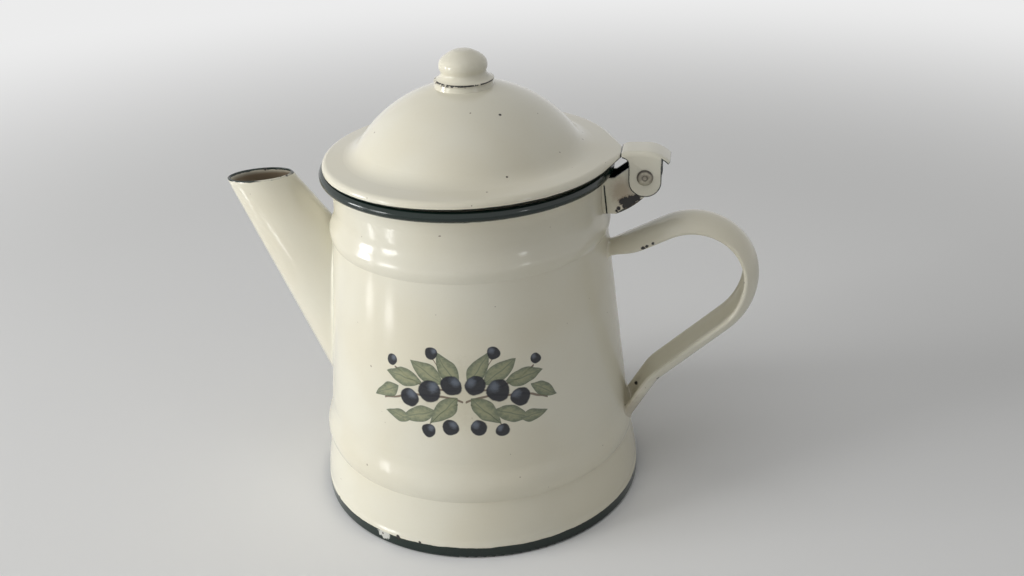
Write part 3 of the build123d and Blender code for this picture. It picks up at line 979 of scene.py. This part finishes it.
@dataclass(frozen=True)
class LidFinish(Enamel):
    """Cream lid with a green lower edge, a few specks and flaked enamel in the knob's seam."""

    centre: float = 0.85
    lift: float = 124.65
    slope: float = 0.0131
    edge_radius: float = 47.7
    lug_end: float = 51.7
    lug_run: float = 5.0
    lug_rise: float = 1.2
    seam_radius: float = 9.9
    seam_height: float = 26.05
    flakes: Grain = Grain(1.3, 3.0, 0.6, 0.44, 0.50)
    chips: tuple[Chip, ...] = (
        Chip(15.1, -17.0, 144.3, 0.42),
        Chip(19.5, -33.7, 129.8, 0.34),
        Chip(-7.4, -5.6, 150.9, 0.42),
        Chip(-4.3, -8.6, 150.9, 0.34),
        Chip(1.8, -9.9, 150.9, 0.36),
        Chip(2.9, -9.7, 150.9, 0.42),
        Chip(8.4, -6.2, 151.0, 0.42),
        Chip(10.3, -2.8, 151.1, 0.40),
    )

    def material(self) -> bpy.types.Material:
        """Builds the lid's material.

        Returns:
            The material.
        """
        recipe = Recipe("lid_enamel")
        x, y, z = recipe.xyz
        own_x = x - self.centre
        height = z - self.lift - own_x * self.slope
        radius = own_x.hypot(y)
        wander = recipe.wander(4.0)
        rise = (own_x - (self.lug_end - self.lug_run)).most(0.0) * (self.lug_rise / self.lug_run)
        edge = (height - rise + wander * 0.3).step(0.28, 0.16) * radius.above(self.edge_radius, 0.1)
        crack = (own_x + wander * 0.3).step(self.lug_end - 0.32, self.lug_end - 0.14)
        seam = abs(radius - self.seam_radius + wander * 0.3).step(0.42, 0.20)
        seam = seam * height.above(self.seam_height, 0.05) * recipe.patches(self.flakes)
        return self.finished(recipe, self.coat(recipe).mixed(self.green, edge.most(crack)), seam)


@dataclass(frozen=True)
class RivetFinish:
    """Hollow rivet of dull steel, with old enamel on its face, dirt in its rings, and painted shade that
    darkens the outer ring towards its top.
    """

    centre: tuple[float, float] = (60.6, 119.9)
    steel: Colour = (0.300, 0.275, 0.225)
    skin: Colour = (0.430, 0.400, 0.310)
    # Colour of the dirt in the rings, also used for the painted shade on the outer ring's top.
    dirt_and_shade: Colour = (0.050, 0.043, 0.033)
    grime: Grain = Grain(0.8, 4.0, 0.65)
    grime_depth: float = 0.03
    worn: Grain = Grain(1.9, 3.0, 0.6, 0.42, 0.60)

    def material(self) -> bpy.types.Material:
        """Builds the rivet's material.

        Returns:
            The material.
        """
        recipe = Recipe("rivet_steel")
        x, _, z = recipe.xyz
        dz = z - self.centre[1]
        radius = (x - self.centre[0]).hypot(dz)
        grime = recipe.noise(self.grime)
        worn = recipe.patches(self.worn)
        # Outer ring of dirt, made darker towards its top as painted shade.
        rim = radius.step(1.85, 2.50) * (0.46 + dz * 0.13)
        seam = radius.step(1.20, 0.95) * radius.step(0.45, 0.75)
        dark = (rim.most(seam * 0.42) + grime * 0.45).step(0.25, 1.05)
        return recipe.surface(
            {
                "Base Color": worn.blend(self.skin, self.steel).mixed(self.dirt_and_shade, dark),
                "Roughness": grime * 0.25 + 0.30,
                "Metallic": worn * (1 - dark) * 0.8,
                "Normal": recipe.bump(grime, self.grime_depth),
            }
        )


@dataclass(frozen=True)
class FloorFinish:
    """Plain pale floor that passes into the pale backdrop with distance."""

    shade: Colour = (0.86, 0.86, 0.85)
    cloud: Grain = Grain(300.0)
    cloud_share: float = 0.97
    roughness: float = 0.75
    fade_start: float = 300.0
    fade_end: float = 850.0

    def material(self, paper_level: float) -> bpy.types.Material:
        """Builds the floor's material.

        Args:
            paper_level: Level of the backdrop.

        Returns:
            The material.
        """
        recipe = Recipe("floor_paint")
        darker = tuple(part * self.cloud_share for part in self.shade)
        tint = recipe.noise(self.cloud).blend(self.shade, darker)
        inputs = {"Base Color": tint, "Roughness": self.roughness, "Specular IOR Level": 0.0}
        paint = recipe.node("BsdfPrincipled", None, inputs)
        rays = recipe.node("LightPath").outputs
        seen = (Number(recipe, rays["Is Camera Ray"]) + Number(recipe, rays["Is Glossy Ray"])).least(1.0)
        fade = recipe.at.far_from((0.0, 0.0, 0.0)).step(self.fade_start, self.fade_end) * seen
        paper = recipe.node("Emission", None, {"Color": WHITE, "Strength": paper_level})
        mixed = recipe.node("MixShader", None, {0: fade, 1: paint.outputs[0], 2: paper.outputs[0]})
        recipe.node("OutputMaterial", None, {"Surface": mixed.outputs[0]})
        return recipe.material


def placed(name: str, data: bpy.types.ID) -> bpy.types.Object:
    """Adds an object to the scene.

    Args:
        name: Name of the object.
        data: Its mesh, lamp or lens.

    Returns:
        The object.
    """
    made = bpy.data.objects.new(name, data)
    bpy.context.scene.collection.objects.link(made)
    return made


class Piece:
    """A mesh object made in millimetres and handed over in metres."""

    def __init__(self, name: str, body: Body, slot: Slot) -> None:
        """Starts a piece.

        Args:
            name: Name of the piece.
            body: Body that it rides on.
            slot: Material slot of the piece; not used.
        """
        self.name = name
        self.body = body
        self.slot = slot
        self.bm = bmesh.new()

    def edges(self, ring: Sequence[bmesh.types.BMVert]) -> list[bmesh.types.BMEdge]:
        """Edges of a closed ring in order."""
        return [self.bm.edges.get(pair) for pair in zip(ring, [*ring[1:], ring[0]])]

    def ring(self, points: Sequence[Vector]) -> list[bmesh.types.BMVert]:
        """Closed ring from a circle whose corners are moved to points.

        Args:
            points: Places of the corners.

        Returns:
            The ring's vertices in order.
        """
        made = bmesh.ops.create_circle(self.bm, cap_ends=False, radius=1.0, segments=len(points))
        for vert, point in zip(made["verts"], points):
            vert.co = point
        return made["verts"]

    def next_ring(
        self, ring: Sequence[bmesh.types.BMVert], points: Sequence[Vector]
    ) -> list[bmesh.types.BMVert]:
        """Extrudes an open ring and moves the new corners to points.

        Args:
            ring: The ring to start from.
            points: Places of the new corners.

        Returns:
            The new ring's vertices in order.
        """
        made = bmesh.ops.extrude_edge_only(self.bm, edges=self.edges(ring))
        fresh = {item for item in made["geom"] if isinstance(item, bmesh.types.BMVert)}
        moved = []
        for vert in ring:
            moved.append(next(e.other_vert(vert) for e in vert.link_edges if e.other_vert(vert) in fresh))
        for vert, point in zip(moved, points):
            vert.co = point
        return moved

    def follow(
        self, ring: Sequence[bmesh.types.BMVert], rows: Sequence[Sequence[Vector]]
    ) -> list[bmesh.types.BMVert]:
        """Extrudes an open ring through rows of points.

        Args:
            ring: The ring to start from.
            rows: Places of the corners, row by row.

        Returns:
            The last ring's vertices in order.
        """
        for points in rows:
            ring = self.next_ring(ring, points)
        return ring

    def take(self, solid: bpy.types.Object, merge: float = 0.002, flat: float = 0.6) -> None:
        """Takes over a solid's mesh as clean flat faces.

        Args:
            solid: The solid.
            merge: Distance under which two points are one.
            flat: Angle in degrees under which two faces are one.
        """
        self.bm.from_mesh(solid.data)
        bmesh.ops.scale(self.bm, vec=(1 / MM, 1 / MM, 1 / MM), verts=self.bm.verts)
        bmesh.ops.remove_doubles(self.bm, verts=self.bm.verts, dist=merge)
        limit = math.radians(flat)
        bmesh.ops.dissolve_limit(self.bm, angle_limit=limit, verts=self.bm.verts, edges=self.bm.edges)

    def finish(self, material: bpy.types.Material, replaces: str = "") -> bpy.types.Object:
        """Turns the mesh into an object on its body.

        Args:
            material: Its finish.
            replaces: Solid that the piece stands for.

        Returns:
            The object.
        """
        bmesh.ops.recalc_face_normals(self.bm, faces=self.bm.faces)
        bmesh.ops.scale(self.bm, vec=(MM, MM, MM), verts=self.bm.verts)
        mesh = bpy.data.meshes.new(self.name)
        self.bm.to_mesh(mesh)
        self.bm.free()
        mesh.shade_smooth()
        mesh.materials.append(material)
        piece = placed(self.name, mesh)
        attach(piece, self.body.value)
        if replaces:
            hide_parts(replaces)
        log.info("%s stands for %s", self.name, replaces or "itself")
        return piece


def add_modifier(piece: bpy.types.Object, kind: str, **settings: object) -> None:
    """Adds a modifier to a piece.

    Args:
        piece: The piece.
        kind: Type of the modifier.
        settings: Its settings.
    """
    made = piece.modifiers.new(kind.lower(), kind)
    for name, value in settings.items():
        setattr(made, name, value)


def dress(node: str, material: bpy.types.Material) -> None:
    """Gives a solid that stays in view its finish.

    Args:
        node: Name of the solid.
        material: The finish.
    """
    shown = bpy.data.objects[node]
    shown.data.materials.clear()
    shown.data.materials.append(material)
    log.info("%s keeps its solid", node)


@dataclass
class Hinge:
    """Folded bracket on the neck and folded leaf on the lid, with the enamel rounded over their cut edges."""

    round_over: float = 0.28
    round_steps: int = 3
    sharp: float = 32.0
    core_radius: float = 0.79
    core_depth: float = 0.28
    core_segments: int = 32
    dishes: tuple[tuple[float, float], ...] = ((0.45, -0.14), (0.30, -0.05))

    def build(
        self,
        nodes: dict,
        bracket: bpy.types.Material,
        leaf: bpy.types.Material,
        rivet: bpy.types.Material,
    ) -> None:
        """Builds both folded sheets and the core of the rivet.

        Args:
            nodes: Solids of the frame by name.
            bracket: Finish of the bracket.
            leaf: Finish of the leaf.
            rivet: Finish of the rivet.
        """
        self.folded("hinge_saddle", nodes["hinge_bracket"], Body.POT, bracket)
        self.folded("hinge_cap", nodes["hinge_leaf"], Body.LID, leaf)
        self.core(rivet)

    def core(self, material: bpy.types.Material) -> None:
        """Fills the rivet's bore with the old enamel that closes it, dished at both ends.

        Args:
            material: Finish of the rivet.
        """
        low, high = (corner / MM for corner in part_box("hinge_pin"))
        piece = Piece("rivet_core", Body.POT, Slot.RIVET)
        bmesh.ops.create_cone(
            piece.bm,
            cap_ends=True,
            segments=self.core_segments,
            radius1=self.core_radius,
            radius2=self.core_radius,
            depth=high.y - low.y - self.core_depth * 2,
            matrix=Matrix.Translation((low + high) / 2) @ Matrix.Rotation(math.pi / 2, 4, "X"),
        )
        ends = [face for face in piece.bm.faces if len(face.verts) == self.core_segments]
        for share, depth in self.dishes:
            thickness = self.core_radius * share
            bmesh.ops.inset_individual(piece.bm, faces=ends, thickness=thickness, depth=depth)
        piece.finish(material)

    def folded(self, name: str, solid: bpy.types.Object, body: Body, material: bpy.types.Material) -> None:
        """Copies a folded sheet and rounds its edges.

        Args:
            name: Name of the piece.
            solid: The solid that it stands for.
            body: Body that it rides on.
            material: Its finish.
        """
        piece = Piece(name, body, Slot.CREAM)
        piece.take(solid)
        shown = piece.finish(material, solid.name)
        add_modifier(
            shown,
            "BEVEL",
            width=self.round_over * MM,
            segments=self.round_steps,
            limit_method="ANGLE",
            angle_limit=math.radians(self.sharp),
            harden_normals=True,
        )


@dataclass(frozen=True)
class Root:
    """Enamel fillet where a part is welded to the wall."""

    wall: bpy.types.Object
    leg: float
    steps: int = 5
    proud: float = 0.02
    sink: float = 0.25
    spread: float = 0.15

    def landing(self, start: Vector, way: Vector) -> tuple[Vector, Vector]:
        """Where a line meets the wall.

        Args:
            start: Start of the line in millimetres.
            way: Its unit direction.

        Returns:
            The point in millimetres and the wall's normal there.
        """
        found, spot, normal, _ = self.wall.ray_cast(start * MM, way)
        if not found:
            raise ValueError("a root line misses the wall")
        return spot / MM, normal

    def rings(
        self, starts: Sequence[Vector], ways: Sequence[Vector], outs: Sequence[Vector]
    ) -> list[list[Vector]]:
        """Rings of the fillet from the part down into the wall.

        Args:
            starts: Points on the part before the root.
            ways: Unit directions towards the wall.
            outs: Directions out of the part's face.

        Returns:
            Lists of points, one list per ring.
        """
        rings = [[] for _ in range(self.steps + 2)]
        for start, way, out in zip(starts, ways, outs):
            spot, normal = self.landing(start, way)
            aside = (out - normal * out.dot(normal)).normalized()
            top = spot - way * self.leg
            _, near, face, _ = self.wall.closest_point_on_mesh((spot + aside * self.leg) * MM)
            foot = near / MM + face * self.proud
            for step in range(self.steps + 1):
                share = step / self.steps
                bent = top * (1 - share) ** 2 + spot * (2 * share * (1 - share)) + foot * share**2
                rings[step].append(bent)
            rings[-1].append(foot - face * self.sink + aside * self.spread)
        return rings


@dataclass
class Spout:
    """Straight oval cone with a rolled lip and an enamel fillet at its root."""

    cone: Cone = Cone()
    mouth_tilt: float = 4.7
    segments: int = 72
    rows: int = 14
    leg: float = 1.9
    lip_bend: tuple[float, float] = (0.12, 0.17)
    root_start: float = 0.8
    flank: float = 1.35

    def point(self, turn: float, share: float, inset: float) -> Vector:
        """Point of the cone.

        Args:
            turn: Angle round the section.
            share: 0 at the root's level and 1 at the mouth's.
            inset: Distance in from the outer face.

        Returns:
            The point in millimetres.
        """
        cone = self.cone
        along = cone.between(cone.lengths, share) / 2 - inset / math.sin(cone.lean)
        aside = cone.between(cone.widths, share) / 2 - inset
        x = along * math.cos(turn) - cone.between(cone.reaches, share)
        return Vector((x, aside * math.sin(turn), cone.between(cone.heights, share)))

    def mouth(self) -> tuple[Vector, Vector]:
        """A point of the mouth's plane and the way it faces.

        Returns:
            The point and the unit direction.
        """
        tilt = math.radians(self.mouth_tilt)
        spot = Vector((-self.cone.reaches[1], 0, self.cone.heights[1]))
        return spot, Vector((-math.sin(tilt), 0, math.cos(tilt)))

    def at_mouth(self, turn: float, inset: float, below: float) -> Vector:
        """Point of the cone at a depth under the mouth's plane.

        Args:
            turn: Angle round the section.
            inset: Distance in from the outer face.
            below: Depth under the plane.

        Returns:
            The point in millimetres.
        """
        spot, normal = self.mouth()
        low = self.point(turn, 0, inset)
        run = self.point(turn, 1, inset) - low
        share = ((spot - low).dot(normal) - below) / run.dot(normal)
        return low + run * share

    def line_down(self, turn: float, inset: float) -> tuple[Vector, Vector]:
        """Line down the cone towards the wall.

        Args:
            turn: Angle round the section.
            inset: Distance in from the outer face.

        Returns:
            Its start in millimetres and its unit direction.
        """
        high = self.point(turn, self.root_start, inset)
        return high, (self.point(turn, 0, inset) - high).normalized()

    def rows_between(self, first: Sequence[Vector], last: Sequence[Vector]) -> list[list[Vector]]:
        """Rows of points that lead from one ring to another, which is the last row."""
        shares = [row / self.rows for row in range(1, self.rows + 1)]
        return [[a.lerp(b, share) for a, b in zip(first, last)] for share in shares]

    def build(self, wall: bpy.types.Object, finish: SpoutFinish) -> None:
        """Builds the spout.

        Args:
            wall: The pot's wall, which the root lands on.
            finish: Finish of the spout.
        """
        piece = Piece("spout_tube", Body.POT, Slot.CREAM)
        turns = [2 * math.pi * n / self.segments for n in range(self.segments)]
        root = Root(wall, self.leg)
        starts, ways = zip(*(self.line_down(turn, 0) for turn in turns))
        outs = [Vector((math.cos(turn), math.sin(turn) * self.flank, 0.0)) for turn in turns]
        fillet = root.rings(starts, ways, outs)
        sheet = self.cone.sheet
        mouth = [self.at_mouth(turn, 0, sheet / 2) for turn in turns]
        mouth_ring = piece.ring(mouth)
        foot = piece.follow(mouth_ring, [*self.rows_between(mouth, fillet[0])[:-1], *fillet])
        bend, drop = self.lip_bend
        lip = ((bend, drop), (sheet / 2, 0.0), (sheet - bend, drop), (sheet, sheet / 2))
        ring = piece.follow(mouth_ring, [[self.at_mouth(turn, *place) for turn in turns] for place in lip])
        inner_mouth = [vert.co.copy() for vert in ring]
        ends = []
        for turn in turns:
            high, way = self.line_down(turn, sheet)
            ends.append(root.landing(high, way)[0] + way * root.sink)
        ring = piece.follow(ring, self.rows_between(inner_mouth, ends))
        bmesh.ops.bridge_loops(piece.bm, edges=piece.edges(foot) + piece.edges(ring))
        shown = piece.finish(finish.material(self.cone, *self.mouth()), "spout")
        add_modifier(shown, "SUBSURF", levels=1, render_levels=1)


@dataclass
class Handle:
    """Bowed strap with rolled edges, swept round the grip and welded on at both ends."""

    width: float = 17.0
    crown: float = 4.2
    sheet: float = 1.2
    edge: float = 1.1
    edge_turns: tuple[float, ...] = (-36, -72, -108, -144)
    outer_steps: int = 18
    inner_steps: int = 14
    top_slope: float = 26.0
    top_radius: float = 22.5
    top_steps: int = 24
    reach: float = 99.6
    bend_height: float = 83.5
    low_radius: float = 27.0
    low_slope: float = 41.8
    low_steps: int = 12
    low_run: float = 30.5
    run_steps: int = 7
    foot_radius: float = 14.0
    foot_slope: float = 59.0
    foot_steps: int = 4
    leg: float = 1.2
    taper: tuple[tuple[float, float, float], ...] = (
        (17.2, 0.754, 0.59),
        (16.0, 0.770, 0.62),
        (14.0, 0.830, 0.735),
        (12.0, 0.890, 0.850),
        (10.0, 0.945, 0.925),
        (8.5, 0.980, 0.970),
        (6.5, 0.994, 0.990),
        (4.5, 0.998, 0.998),
        (2.0, 1.0, 1.0),
    )
    straight: float = 4.0

    def section(self, narrow: float = 1.0, flat: float = 1.0) -> list[tuple[float, float]]:
        """Closed section of the strap.

        Args:
            narrow: Share of the full width.
            flat: Share of the full crown.

        Returns:
            Pairs of across and out, with the crest at zero.
        """
        half = self.width / 2 * narrow
        crown = self.crown * flat
        points = self.arc(-half, -crown, 0, self.outer_steps)
        points += self.roll(half - self.edge, crown)
        points += self.arc(half - 2 * self.edge, -crown, -self.sheet, self.inner_steps)
        return points + self.roll(self.edge - half, crown)

    def roll(self, middle: float, crown: float) -> list[tuple[float, float]]:
        """Rolled edge of the section.

        Args:
            middle: Place of the roll across the strap.
            crown: Depth of the roll under the crest.

        Returns:
            Pairs of across and out.
        """
        turns = [math.radians(turn) for turn in self.edge_turns]
        return [(middle + self.edge * math.cos(turn), self.edge * math.sin(turn) - crown) for turn in turns]

    @staticmethod
    def arc(start: float, low: float, crest: float, steps: int) -> list[tuple[float, float]]:
        """Points of a bow from one side to the other.

        Args:
            start: Side that it starts from.
            low: Height of both sides.
            crest: Height of its middle.
            steps: Number of steps.

        Returns:
            Pairs of across and out.
        """
        rise = crest - low
        half = abs(start)
        radius = (half * half + rise * rise) / (2 * rise)
        reach = math.asin(half / radius) * (1 if start < 0 else -1)
        points = []
        for step in range(steps + 1):
            angle = -reach + 2 * reach * step / steps
            points.append((radius * math.sin(angle), crest - radius + radius * math.cos(angle)))
        return points

    def path(self) -> list[tuple[Vector, Vector, float, float]]:
        """Crest line of the strap.

        Returns:
            Points, unit directions and shares of the full width and crown.
        """
        stations = []
        top = Vector((self.reach - self.top_radius, 0, self.bend_height))
        low = Vector((self.reach - self.low_radius, 0, self.bend_height))
        rise = 90 + self.top_slope
        first = top + self.spoke(rise) * self.top_radius
        way = self.spoke(self.top_slope)
        for run, narrow, flat in self.taper:
            stations.append((first - way * (run + self.straight), way, narrow, flat))
        stations.append((first - way * (self.straight / 2), way, 1.0, 1.0))
        for step in range(self.top_steps + 1):
            angle = rise * (1 - step / self.top_steps)
            stations.append((top + self.spoke(angle) * self.top_radius, self.spoke(angle - 90), 1.0, 1.0))
        turn = self.low_slope - 90
        for step in range(1, self.low_steps + 1):
            angle = turn * step / self.low_steps
            stations.append((low + self.spoke(angle) * self.low_radius, self.spoke(angle - 90), 1.0, 1.0))
        last, way = stations[-1][:2]
        for step in range(1, self.run_steps + 1):
            stations.append((last + way * (self.low_run * step / self.run_steps), way, 1.0, 1.0))
        centre = stations[-1][0] + self.spoke(turn) * self.foot_radius
        for step in range(1, self.foot_steps + 1):
            angle = turn + (self.foot_slope - self.low_slope) * step / self.foot_steps
            spot = centre - self.spoke(angle) * self.foot_radius
            stations.append((spot, self.spoke(angle - 90), 1.0, 1.0))
        return stations

    @staticmethod
    def spoke(degrees: float) -> Vector:
        """Unit vector at an angle in the side plane."""
        turn = math.radians(degrees)
        return Vector((math.cos(turn), 0, math.sin(turn)))

    def row(self, at: Vector, way: Vector, narrow: float, flat: float) -> list[Vector]:
        """The section set on the path.

        Args:
            at: Point of the path.
            way: Direction of the path there.
            narrow: Share of the full width.
            flat: Share of the full crown.

        Returns:
            The section's points.
        """
        out = way.cross(Vector((0, 1, 0)))
        return [at + Vector((0, across, 0)) + out * lift for across, lift in self.section(narrow, flat)]

    def outs(self, way: Vector) -> list[Vector]:
        """Directions out of the strap's face at each point of its section.

        Args:
            way: Direction of the path.

        Returns:
            Unit vectors.
        """
        section = self.section()
        out = way.cross(Vector((0, 1, 0)))
        found = []
        for before, after in zip([section[-1], *section[:-1]], [*section[1:], section[0]]):
            run, rise = after[0] - before[0], after[1] - before[1]
            found.append((Vector((0, -rise, 0)) + out * run).normalized())
        return found

    def build(self, wall: bpy.types.Object, finish: StrapFinish) -> None:
        """Builds the handle.

        Args:
            wall: The pot's wall, which both ends land on.
            finish: Finish of the handle.
        """
        piece = Piece("handle_grip", Body.POT, Slot.CREAM)
        root = Root(wall, self.leg)
        stations = self.path()
        ends = []
        for station, sign in ((stations[0], -1), (stations[-1], 1)):
            points = self.row(*station)
            way = station[1]
            ends.append(root.rings(points, [way * sign] * len(points), self.outs(way)))
        rows = [*reversed(ends[0]), *[self.row(*station) for station in stations], *ends[1]]
        first = piece.ring(rows[0])
        for cap in (first, piece.follow(first, rows[1:])):
            bmesh.ops.edgeloop_fill(piece.bm, edges=piece.edges(cap))
        shown = piece.finish(finish.material(), "handle_strap")
        add_modifier(shown, "SUBSURF", levels=1, render_levels=1)


@dataclass(frozen=True)
class Lamp:
    """Soft panel that faces the pot.

    Its turn is measured round the pot from the front towards the handle, its rise from the floor, and both
    in degrees. Its distance and size are in metres and its power in watts. A mirrored lamp shows in the
    glaze as a bright spot, and a lighting one lights surfaces as well.
    """

    name: str
    turn: float
    rise: float
    away: float
    size: tuple[float, float]
    power: float
    mirrored: bool = True
    lighting: bool = True
    aim: Spot = (0.0, 0.0, 0.07)

    def hang(self) -> None:
        """Puts the lamp in the scene."""
        panel = bpy.data.lights.new(self.name, "AREA")
        panel.shape = "RECTANGLE"
        panel.size, panel.size_y = self.size
        panel.energy = self.power
        around, up = math.radians(self.turn), math.radians(self.rise)
        back = Vector((math.sin(around) * math.cos(up), -math.cos(around) * math.cos(up), math.sin(up)))
        facing = back.to_track_quat("Z", "Y").to_matrix().to_4x4()
        lamp = placed(self.name, panel)
        lamp.matrix_world = Matrix.Translation(Vector(self.aim) + back * self.away) @ facing
        lamp.visible_camera = False
        lamp.visible_glossy = self.mirrored
        lamp.visible_diffuse = self.lighting


@dataclass
class Studio:
    """Camera where the photograph was taken, a pale floor and soft lamps."""

    distance: float = 378.13
    height: float = 258.33
    round_turn: float = 12.0
    heading: float = 0.03575
    pitch: float = 0.45463
    roll: float = 0.04095
    focal: float = 1173.24
    picture_width: float = 1024.0
    sensor: float = 36.0
    clip: tuple[float, float] = (0.01, 50.0)
    room_level: float = 0.25
    paper_level: float = 0.84
    floor_half: float = 4.0
    lamps: tuple[Lamp, ...] = (
        Lamp("left_pane", -78.0, 5.0, 1.0, (0.20, 0.22), 2.4),
        Lamp("right_pane", -55.0, 4.0, 1.0, (0.22, 0.24), 1.7),
        Lamp("far_pane", 52.0, 12.0, 1.6, (0.12, 0.20), 0.6),
        Lamp("low_gleam", -53.5, -12.2, 0.30, (0.036, 0.010), 0.012, lighting=False),
        Lamp("low_gleam_far", -72.0, -12.2, 0.30, (0.030, 0.010), 0.010, lighting=False),
        Lamp("daylight", -66.0, 18.0, 2.4, (1.0, 1.2), 21.0, mirrored=False),
        Lamp("overhead", -30.0, 72.0, 1.4, (1.2, 1.2), 5.2, mirrored=False),
    )

    def camera(self) -> None:
        """Places the camera."""
        turn = math.radians(self.round_turn)
        place = Vector((self.distance * math.sin(turn), -self.distance * math.cos(turn), self.height)) * MM
        look = (
            Matrix.Rotation(turn - self.heading, 4, "Z")
            @ Matrix.Rotation(math.pi / 2 - self.pitch, 4, "X")
            @ Matrix.Rotation(-self.roll, 4, "Z")
        )
        lens = bpy.data.cameras.new("camera")
        lens.sensor_width = self.sensor
        lens.sensor_fit = "HORIZONTAL"
        lens.lens = self.focal / self.picture_width * self.sensor
        lens.clip_start, lens.clip_end = self.clip
        camera = placed("camera", lens)
        camera.matrix_world = Matrix.Translation(place) @ look
        bpy.context.scene.camera = camera

    def surroundings(self) -> None:
        """Gives the room its even light, and shows it pale to the camera and in reflections."""
        world = bpy.data.worlds.new("room")
        recipe = Recipe("room", world)
        rays = recipe.node("LightPath").outputs
        seen = Number(recipe, rays["Is Camera Ray"]) + Number(recipe, rays["Is Transmission Ray"])
        seen = (seen + Number(recipe, rays["Is Glossy Ray"])).least(1.0)
        level = seen * (self.paper_level - self.room_level) + self.room_level
        paper = recipe.node("Background", None, {"Color": WHITE, "Strength": level})
        recipe.node("OutputWorld", None, {"Surface": paper.outputs[0]})
        bpy.context.scene.world = world

    def floor(self, finish: FloorFinish) -> None:
        """Lays the floor.

        Args:
            finish: Finish of the floor.
        """
        bm = bmesh.new()
        bmesh.ops.create_grid(bm, x_segments=4, y_segments=4, size=self.floor_half)
        mesh = bpy.data.meshes.new("floor")
        bm.to_mesh(mesh)
        bm.free()
        mesh.materials.append(finish.material(self.paper_level))
        placed("floor", mesh)

    def build(self, finish: FloorFinish) -> None:
        """Builds the studio.

        Args:
            finish: Finish of the floor.
        """
        self.camera()
        for lamp in self.lamps:
            lamp.hang()
        self.surroundings()
        self.floor(finish)
        bpy.context.scene.view_settings.view_transform = "Standard"
        log.info("studio has %d lamps", len(self.lamps))


def main() -> None:
    """Builds the pot in order."""
    logging.basicConfig(level=logging.INFO, format="%(message)s")
    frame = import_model()
    wall = frame["nodes"]["body_shell"]
    Studio().build(FloorFinish())
    dress("body_shell", WallFinish().material(Sprig()))
    dress("base_pan", PanFinish().material())
    Spout().build(wall, SpoutFinish())
    Handle().build(wall, StrapFinish())
    rivet = RivetFinish().material()
    Hinge().build(frame["nodes"], BracketFinish().material(), LeafFinish().material(), rivet)
    dress("hinge_pin", rivet)
    lid = LidFinish().material()
    for node in ("lid_shell", "lid_collar", "lid_knob"):
        dress(node, lid)


if __name__ == "__main__":
    main()
